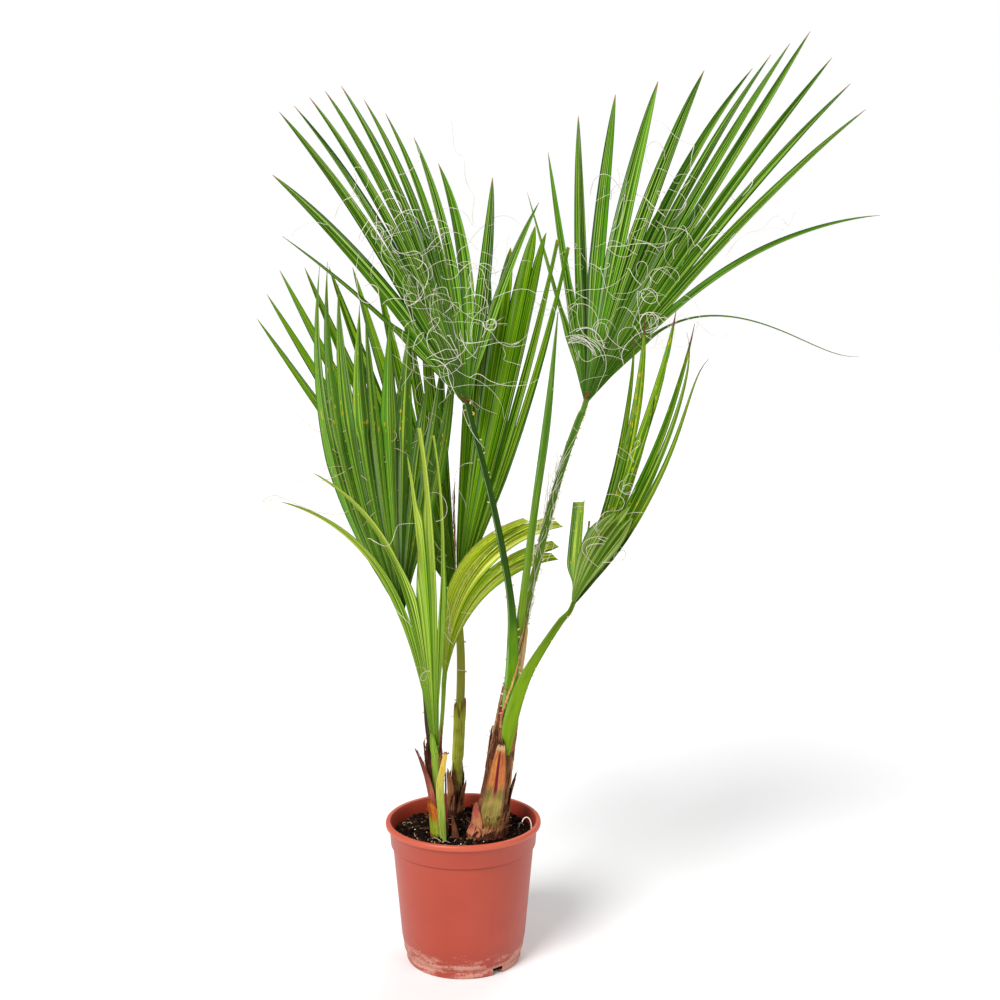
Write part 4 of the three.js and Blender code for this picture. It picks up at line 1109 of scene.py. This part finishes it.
# torn strips of sheath that wind over a stem or a stalk: from and to which height and facing
strips = {
    "strip_pink": ("sheathPink", 1.5, "stalk_left_high", (294, 384), (-172, -20)),
    "strip_cross": ("threadBrown", 0.8, "stalk_left_high", (350, 334), (-160, -95)),
    "strip_left": ("threadBrown", 1.5, "trunk_right", (350, 252), (-140, -162)),
    "strip_right": ("sheathDark", 1.2, "trunk_right", (364, 240), (-50, -12)),
    "strip_top": ("sheathPink", 1.1, "trunk_right", (372, 428), (-95, -140)),
}
for number, (name, (finishName, width, guide, heights, facings)) in enumerate(strips.items()):
    skin = Skin()
    chance = seeded(number, 21)
    steps, bristles = 40, 12
    path = []
    for n in range(steps + 1):
        height, facing = mix(*heights, n / steps), mix(*facings, n / steps)
        spot, _ = sheathSpot((guide, facing, 0, height, height, 0, 0, 0, 1.4, 0), 0, 0, 0)
        path.append(spot + chance.normal(size=3) * 0.25)
    radii = [width * chance.uniform(0.55, 1.1) * (1 - 0.8 * (n / steps) ** 4) for n in range(steps + 1)]
    addTube(skin, path, radii, 8, chance.random(), 0.45)
    for k in range(bristles):
        start = path[int(chance.integers(2, steps - 2))]
        ahead = unit(chance.normal(size=3) + (-0.6, -0.5, 0.4))
        bristle = [start + ahead * n * chance.uniform(0.5, 1.1) for n in range(5)]
        addTube(skin, bristle, thinning(0.34, 0.7, 5), 4, chance.random())
    skin.make(name, finishName, 50, "leaf_base")

# the torn top of the cut yellow stalk
tornTop = {"count": 16, "thick": (0.6, 0.5, 0.35, 0.15)}
chance = seeded(61)
top = np.array(stubs["stub_yellow"]["line"][-1], float)
for k in range(tornTop["count"]):
    start = top + (chance.uniform(-3.4, 3.4), chance.uniform(-0.8, 0.8), -1)
    ahead = unit((chance.normal() * 0.5 + 0.25, chance.normal() * 0.3, 1))
    bristle = [start + ahead * n * chance.uniform(0.7, 1.5) for n in range(4)]
    addTube(fray, bristle, tornTop["thick"], 4, chance.random())
fray.make("torn_fibres", "threadBrown", 50, "leaf_base")

# a white root that curls over the mix at the right of the main stem
root = {"centre": (77, -22, 171), "reach": (6, 3, 11), "from": -60, "to": 150, "thickness": 0.7, "steps": 16}
skin = Skin()
path = []
for n in range(root["steps"] + 1):
    turn = math.radians(mix(root["from"], root["to"], n / root["steps"]))
    away = np.array(root["reach"]) * (math.cos(turn), math.sin(turn), math.sin(turn))
    path.append(away + root["centre"])
addTube(skin, path, [root["thickness"]] * len(path), 6, 0.9)
skin.make("curled_root", "threadPale", 50, "leaf_base")

# pale fibres between the spear and the stalk beside it
spearFibres = {"count": 84, "along": (0.1, 0.8), "reach": (18, 80), "thick": 0.38}
skin = Skin()
chance = seeded(71)
beside = stalks["stalk_right_high"]["line"]
for k in range(spearFibres["count"]):
    t = chance.uniform(*spearFibres["along"])
    start = lineAt(beside, t) + (chance.choice((-5.2, -4.4, 4.4)), chance.uniform(-3, 1), 0)
    ahead = lineAt(beside, t + 0.1) - lineAt(beside, t)
    ahead = unit(unit(ahead) + chance.normal(size=3) * (0.12, 0.08, 0.05))
    reach = chance.uniform(*spearFibres["reach"])
    bow = chance.normal(size=3) * (4, 2, 1)
    path = [start + ahead * reach * n / 9 + bow * math.sin(n / 9 * 3.1) for n in range(10)]
    addTube(skin, path, thinning(spearFibres["thick"], 0.6, 10), 4, chance.random())
skin.make("spear_fibres", "threadPale", 50, "leaf_base")

# small flaps where the high blades join their stalks
footFlaps = {"count": 7, "reach": (4, 9), "thick": 1.1}
skin = Skin()
for name in ("frond_right_high", "frond_left_high"):
    fan = fans[name]
    ahead, across, out = fan.throatAhead, fan.throatAcross, fan.normal
    chance = seeded(len(name), 31)
    for k in range(footFlaps["count"]):
        start = fan.hub + across * chance.uniform(-3.5, 3.5) + out * 2 + ahead * chance.uniform(-2, 8)
        heading = unit(ahead * 0.6 + out * chance.uniform(0.2, 1) + across * chance.normal() * 0.6)
        reach = chance.uniform(*footFlaps["reach"])
        path = [start + heading * reach * n / 5 for n in range(6)]
        addTube(skin, path, thinning(footFlaps["thick"], 0.8, 6), 6, chance.random(), 0.4)
skin.make("blade_foot_flaps", "sheathDry", 50, "leaf_base")
print("leaf bases ready")


# pot

pot = {
    "sides": 128, "footRadius": 70.5, "drains": (-53, 127), "drainSize": (16, 14, 18),
    "outside": (  # radius and height, from the foot up
        (68.4, 0), (69.6, 0.5), (70.2, 1.6), (70.6, 8), (70.2, 8.6), (70.2, 9.4), (71.0, 10.2), (73.1, 14),
        (73.6, 16), (74.2, 22), (75.6, 29), (76.0, 31), (86.2, 142.4), (86.8, 143), (88.4, 144),
        (88.8, 145.4), (90.4, 165.4), (91, 166.4), (93.8, 167), (94.7, 168), (95, 169.4), (95, 171.4),
        (94.4, 173), (93.2, 174), (91.4, 174.2),
    ),
    "inside": (  # and down again
        (89.6, 173.6), (88.6, 172), (87.4, 166), (85.7, 158), (84.2, 143), (73.6, 38), (70.1, 5), (67.5, 3.2),
    ),
}


def makePotShell():
    profile = pot["outside"] + pot["inside"]
    radius, height = profile[0]
    bpy.ops.object.select_all(action="DESELECT")
    bpy.ops.mesh.primitive_circle_add(vertices=pot["sides"], radius=radius * mm, location=(0, 0, height * mm))
    shell = bpy.context.active_object
    shell.name = "pot_shell"
    bpy.ops.object.transform_apply(location=True)
    bpy.ops.object.mode_set(mode="EDIT")
    bpy.ops.mesh.select_all(action="SELECT")
    bpy.ops.mesh.edge_face_add()
    for nextRadius, nextHeight in profile[1:]:
        if (nextRadius, nextHeight) == profile[1]:
            bpy.ops.mesh.select_all(action="SELECT")
            bpy.ops.mesh.region_to_loop()
        bpy.ops.mesh.extrude_edges_move(TRANSFORM_OT_translate={"value": (0, 0, (nextHeight - height) * mm)})
        grow = nextRadius / radius
        bpy.ops.transform.resize(value=(grow, grow, 1), center_override=(0, 0, nextHeight * mm))
        radius, height = nextRadius, nextHeight
    bpy.ops.mesh.edge_face_add()
    bpy.ops.mesh.select_all(action="SELECT")
    bpy.ops.mesh.normals_make_consistent(inside=False)
    bpy.ops.object.mode_set(mode="OBJECT")
    for turn in pot["drains"]:
        angle = math.radians(turn)
        foot = (*around(angle, pot["footRadius"] * mm), 0)
        bpy.ops.mesh.primitive_cube_add(size=1, location=foot, rotation=(0, 0, angle))
        cutter = bpy.context.active_object
        cutter.scale = [size * mm for size in pot["drainSize"]]
        bpy.ops.object.transform_apply(location=True, rotation=True, scale=True)
        pick(shell)
        cut = shell.modifiers.new("drain", "BOOLEAN")
        cut.object = cutter
        cut.operation = "DIFFERENCE"
        cut.solver = "MANIFOLD"
        bpy.ops.object.modifier_apply(modifier=cut.name)
        bpy.data.objects.remove(cutter, do_unlink=True)
    return shell


def potFinish():
    plastic = Finish("potPlastic", 0.45, 0.45, (165, 60, 38))
    spot = plastic.spot
    z = spot.node("ShaderNodeSeparateXYZ", {0: spot}, 2)
    radial = spot.node("ShaderNodeVectorMath", {0: spot, 1: (1, 1, 0)}, operation="MULTIPLY")
    radius = radial.node("ShaderNodeVectorMath", {0: radial}, 1, operation="LENGTH")
    fine = plastic.noise(spot, 260.0, 3.0)
    broad = plastic.noise(spot, 12.0, 3.0)
    flat = spot.node("ShaderNodeMapping", {"Vector": spot, "Scale": (1, 1, 4)})
    scuff = plastic.noise(flat, 26.0, 6.0, 0.7)
    grain = plastic.noise(spot, 330.0, 4.0, 0.7)
    speck = plastic.noise(spot, 420.0, 1.0)
    low = z.under(0.05, 0.035)
    rim = z.step(0.165, 0.168) * radius.over(0.0885, 0.002)
    inner = radius.under(0.0875, 0.002) * z.step(0.15, 0.16)
    dust = (scuff * 0.7 + grain * 0.3 + low * 0.2 - 0.64).step(0.0, 0.12) * (low * 0.8 + 0.12)
    plastic.paint(broad.step(0.3, 0.7) * 0.6, (174, 68, 48))
    plastic.paint(rim * 0.8, (196, 86, 58))
    # painted shade: a dark line painted just under the collar step
    plastic.paint(abs(z - 0.1425).under(0.001, 0.001) * 0.6, (120, 36, 26))
    # painted shade: the inside wall above the mix is painted darker
    plastic.paint(inner * 0.6, (158, 48, 32))
    plastic.paint(low * 0.35, (140, 52, 40))
    plastic.paint(dust * 0.7, (206, 160, 142))
    plastic.paint(speck.over(0.75, 0.02) * 0.6, (110, 46, 34))
    return plastic.wear(fine * 0.35 + scuff * 0.3, 0.0003, 0.5, 0.42 + dust * 0.3 + (fine - 0.5) * 0.06)


finishes["potPlastic"] = potFinish()
finish(makePotShell(), "potPlastic", 38, "pot_plastic", "pot")
print("pot ready")


# growing mix

mixTop = {
    "radius": 84.6, "footRadius": 67, "floor": 4, "height": 158, "lump": 2.2, "grit": 0.35, "rings": 46,
    "spokes": 140, "crumbs": 1700, "crumbSizes": (0.9, 1.5, 2.2, 3.1, 4.2),
    "crumbShares": (0.26, 0.3, 0.22, 0.15, 0.07), "whiteFrom": 0.94, "whiteSize": 1.3, "fibres": 28,
}


def groundHeight(x, y):
    lump = (
        math.sin(x * 0.11 + 1.3) * math.cos(y * 0.13 + 0.4) + 0.6 * math.sin(x * 0.31 + y * 0.22)
        + 0.45 * math.sin(x * 0.57 - y * 0.49 + 2) + 0.4 * math.cos(x * 0.93 + y * 1.1)
    )
    return mixTop["height"] + mixTop["lump"] * 0.42 * lump


def spotOnMix(chance, margin):
    r = (mixTop["radius"] - margin) * math.sqrt(chance.random())
    return around(chance.random() * 2 * math.pi, r)


def makeSoil():
    skin = Skin()
    chance = seeded(41)
    spokes, last = mixTop["spokes"], mixTop["rings"]
    centre = skin.point((0, 0, groundHeight(0, 0)))
    rings = []
    for k in range(1, last + 1):
        r = mixTop["radius"] * k / last
        ring = []
        for angle in turns(spokes):
            x, y = around(angle, r)
            z = groundHeight(x, y) + chance.normal() * mixTop["grit"] - (1.5 if k == last else 0)
            ring.append(skin.point((x, y, z)))
        rings.append(ring)
    foot, floor = mixTop["footRadius"], mixTop["floor"]
    rings.append([skin.point((*around(angle, foot), floor)) for angle in turns(spokes)])
    for n in range(spokes):
        o = (n + 1) % spokes
        skin.face([centre, rings[0][n], rings[0][o]], (0.3, 0))
        for inner, outer in zip(rings, rings[1:]):
            skin.face([inner[n], outer[n], outer[o], inner[o]], (0.3, 0))
    skin.face(rings[-1][::-1], (0.3, 0))
    return skin


def soilFinish():
    soil = Finish("peatMix", 0.95, 0.03, (8, 5, 4))
    fine = soil.noise(soil.spot, 420.0, 5.0, 0.7)
    broad = soil.noise(soil.spot, 70.0, 3.0)
    soil.paint((fine * 0.7 + broad * 0.4 - 0.1).step(0.3, 0.75), (50, 32, 24))
    return soil.wear(fine + broad, 0.002)


def crumbFinish():
    crumb = Finish("peatCrumbs", 0.95, 0.06)
    tone, _ = crumb.uv("tone")
    crumb.colour = tone.node("ShaderNodeValToRGB", {0: tone}, stops=[
        (0.0, 9, 5, 4), (0.55, 30, 19, 14), (0.85, 72, 46, 33), (0.95, 130, 96, 66), (0.985, 232, 228, 218)])
    return crumb.wear(crumb.noise(crumb.spot, 500.0), 0.001)


def addCrumb(skin, centre, size, tone, chance):
    # a lump with five corners round it, one above and one below, pushed about
    sides = 5
    corners = []
    for turn in turns(sides):
        corners.append((*around(turn + chance.random() * 0.7), chance.uniform(-0.25, 0.25)))
    corners += [(chance.uniform(-0.3, 0.3), chance.uniform(-0.3, 0.3), 0.8), (0, 0, -0.8)]
    tilt = unit(chance.normal(size=3) * 0.5 + (0, 0, 1))
    wide = unit(np.cross(tilt, (0.3, 0.9, 0.1)))
    deep = np.cross(tilt, wide)
    flat = chance.uniform(0.5, 1)
    at = []
    for x, y, z in corners:
        stretch = size * chance.uniform(0.7, 1.15)
        at.append(skin.point(np.array(centre) + (wide * x + deep * y + tilt * z * flat) * stretch))
    for k in range(sides):
        o = (k + 1) % sides
        skin.face([at[k], at[o], at[-2]], (tone, 0))
        skin.face([at[o], at[k], at[-1]], (tone, 0))


def makeCrumbs():
    skin = Skin()
    chance = seeded(42)
    for k in range(mixTop["crumbs"]):
        x, y = spotOnMix(chance, 3)
        size = chance.choice(mixTop["crumbSizes"], p=mixTop["crumbShares"])
        tone = chance.random()
        if tone > mixTop["whiteFrom"]:  # the white specks stay small
            size = min(size, mixTop["whiteSize"])
        addCrumb(skin, (x, y, groundHeight(x, y) + size * 0.3), size, tone, chance)
    return skin


def settle(at):  # holds a fibre on the mix and inside the rim
    rim = math.hypot(at[0], at[1])
    back = -np.array((at[0], at[1], 0)) / max(rim, 1) * (0.6 if rim > mixTop["radius"] - 6 else 0)
    return back + (0, 0, np.clip((groundHeight(at[0], at[1]) + 1.4 - at[2]) * 0.2, -0.5, 0.5))


def makeMixFibres():
    skin = Skin()
    chance = seeded(43)
    for k in range(mixTop["fibres"]):
        x, y = spotOnMix(chance, 8)
        heading = np.array((chance.normal(), chance.normal(), 0.25))
        start = (x, y, groundHeight(x, y) + 1)
        path = curl(start, heading, (0, 0, 1), int(chance.uniform(5, 14)), 1.8, chance, settle)
        addTube(skin, path, [0.45 * (1 - 0.5 * n / len(path)) for n in range(len(path))], 4, chance.random())
    return skin


finishes.update({"peatMix": soilFinish(), "peatCrumbs": crumbFinish()})
makeSoil().make("soil_top", "peatMix", 60, "growing_mix", "soil")
makeCrumbs().make("soil_crumbs", "peatCrumbs", 30, "growing_mix")
makeMixFibres().make("soil_fibres", "threadTan", 60, "growing_mix")
print("growing mix ready")


# stage

stage = {
    "floor": 120, "floorColour": (0.9, 0.9, 0.9, 1), "softLight": 0.36, "backdrop": 1.0,
    "suns": {
        "keyLight": {"from": (-0.6, -0.85, 1.0), "spread": 28, "strength": 3.0},
        "fillLight": {"from": (0.9, -0.7, 0.6), "spread": 40, "strength": 0.6},
        "backLight": {"from": (0.3, 0.9, 1.2), "spread": 40, "strength": 0.8},
    },
    "camera": {"at": (0.045, -1.6, 0.755), "pitch": 6.7, "lens": 48.6, "sensor": 36},
}

bpy.ops.object.select_all(action="DESELECT")
bpy.ops.mesh.primitive_plane_add(size=stage["floor"], location=(0, 0, 0))
floor = bpy.context.active_object
floor.name = "floor"
paper = bpy.data.materials.new("paper")
paper.use_nodes = True
surface = paper.node_tree.nodes["Principled BSDF"]
surface.inputs["Base Color"].default_value = stage["floorColour"]
surface.inputs["Roughness"].default_value = 0.9
floor.data.materials.append(paper)

world = bpy.data.worlds.new("studio")
world.use_nodes = True
sky = world.node_tree.nodes["Background"]
sky.inputs["Color"].default_value = (1, 1, 1, 1)
seen = Wire(world.node_tree, world.node_tree.nodes.new("ShaderNodeLightPath").outputs["Is Camera Ray"])
seen.feed(seen * (stage["backdrop"] - stage["softLight"]) + stage["softLight"], sky.inputs["Strength"])
scene.world = world
scene.view_settings.view_transform = "Standard"

for name, sun in stage["suns"].items():
    bpy.ops.object.light_add(type="SUN", location=(0, 0, 3))
    lamp = bpy.context.active_object
    lamp.name = name
    lamp.data.energy = sun["strength"]
    lamp.data.angle = math.radians(sun["spread"])
    x, y, z = sun["from"]
    lamp.rotation_euler = (math.atan2(math.hypot(x, y), z), 0, math.atan2(x, -y))

view = stage["camera"]
bpy.ops.object.camera_add(location=view["at"], rotation=(math.radians(90 - view["pitch"]), 0, 0))
camera = bpy.context.active_object
camera.data.lens = view["lens"]
camera.data.sensor_width = view["sensor"]
scene.camera = camera
print("stage ready")
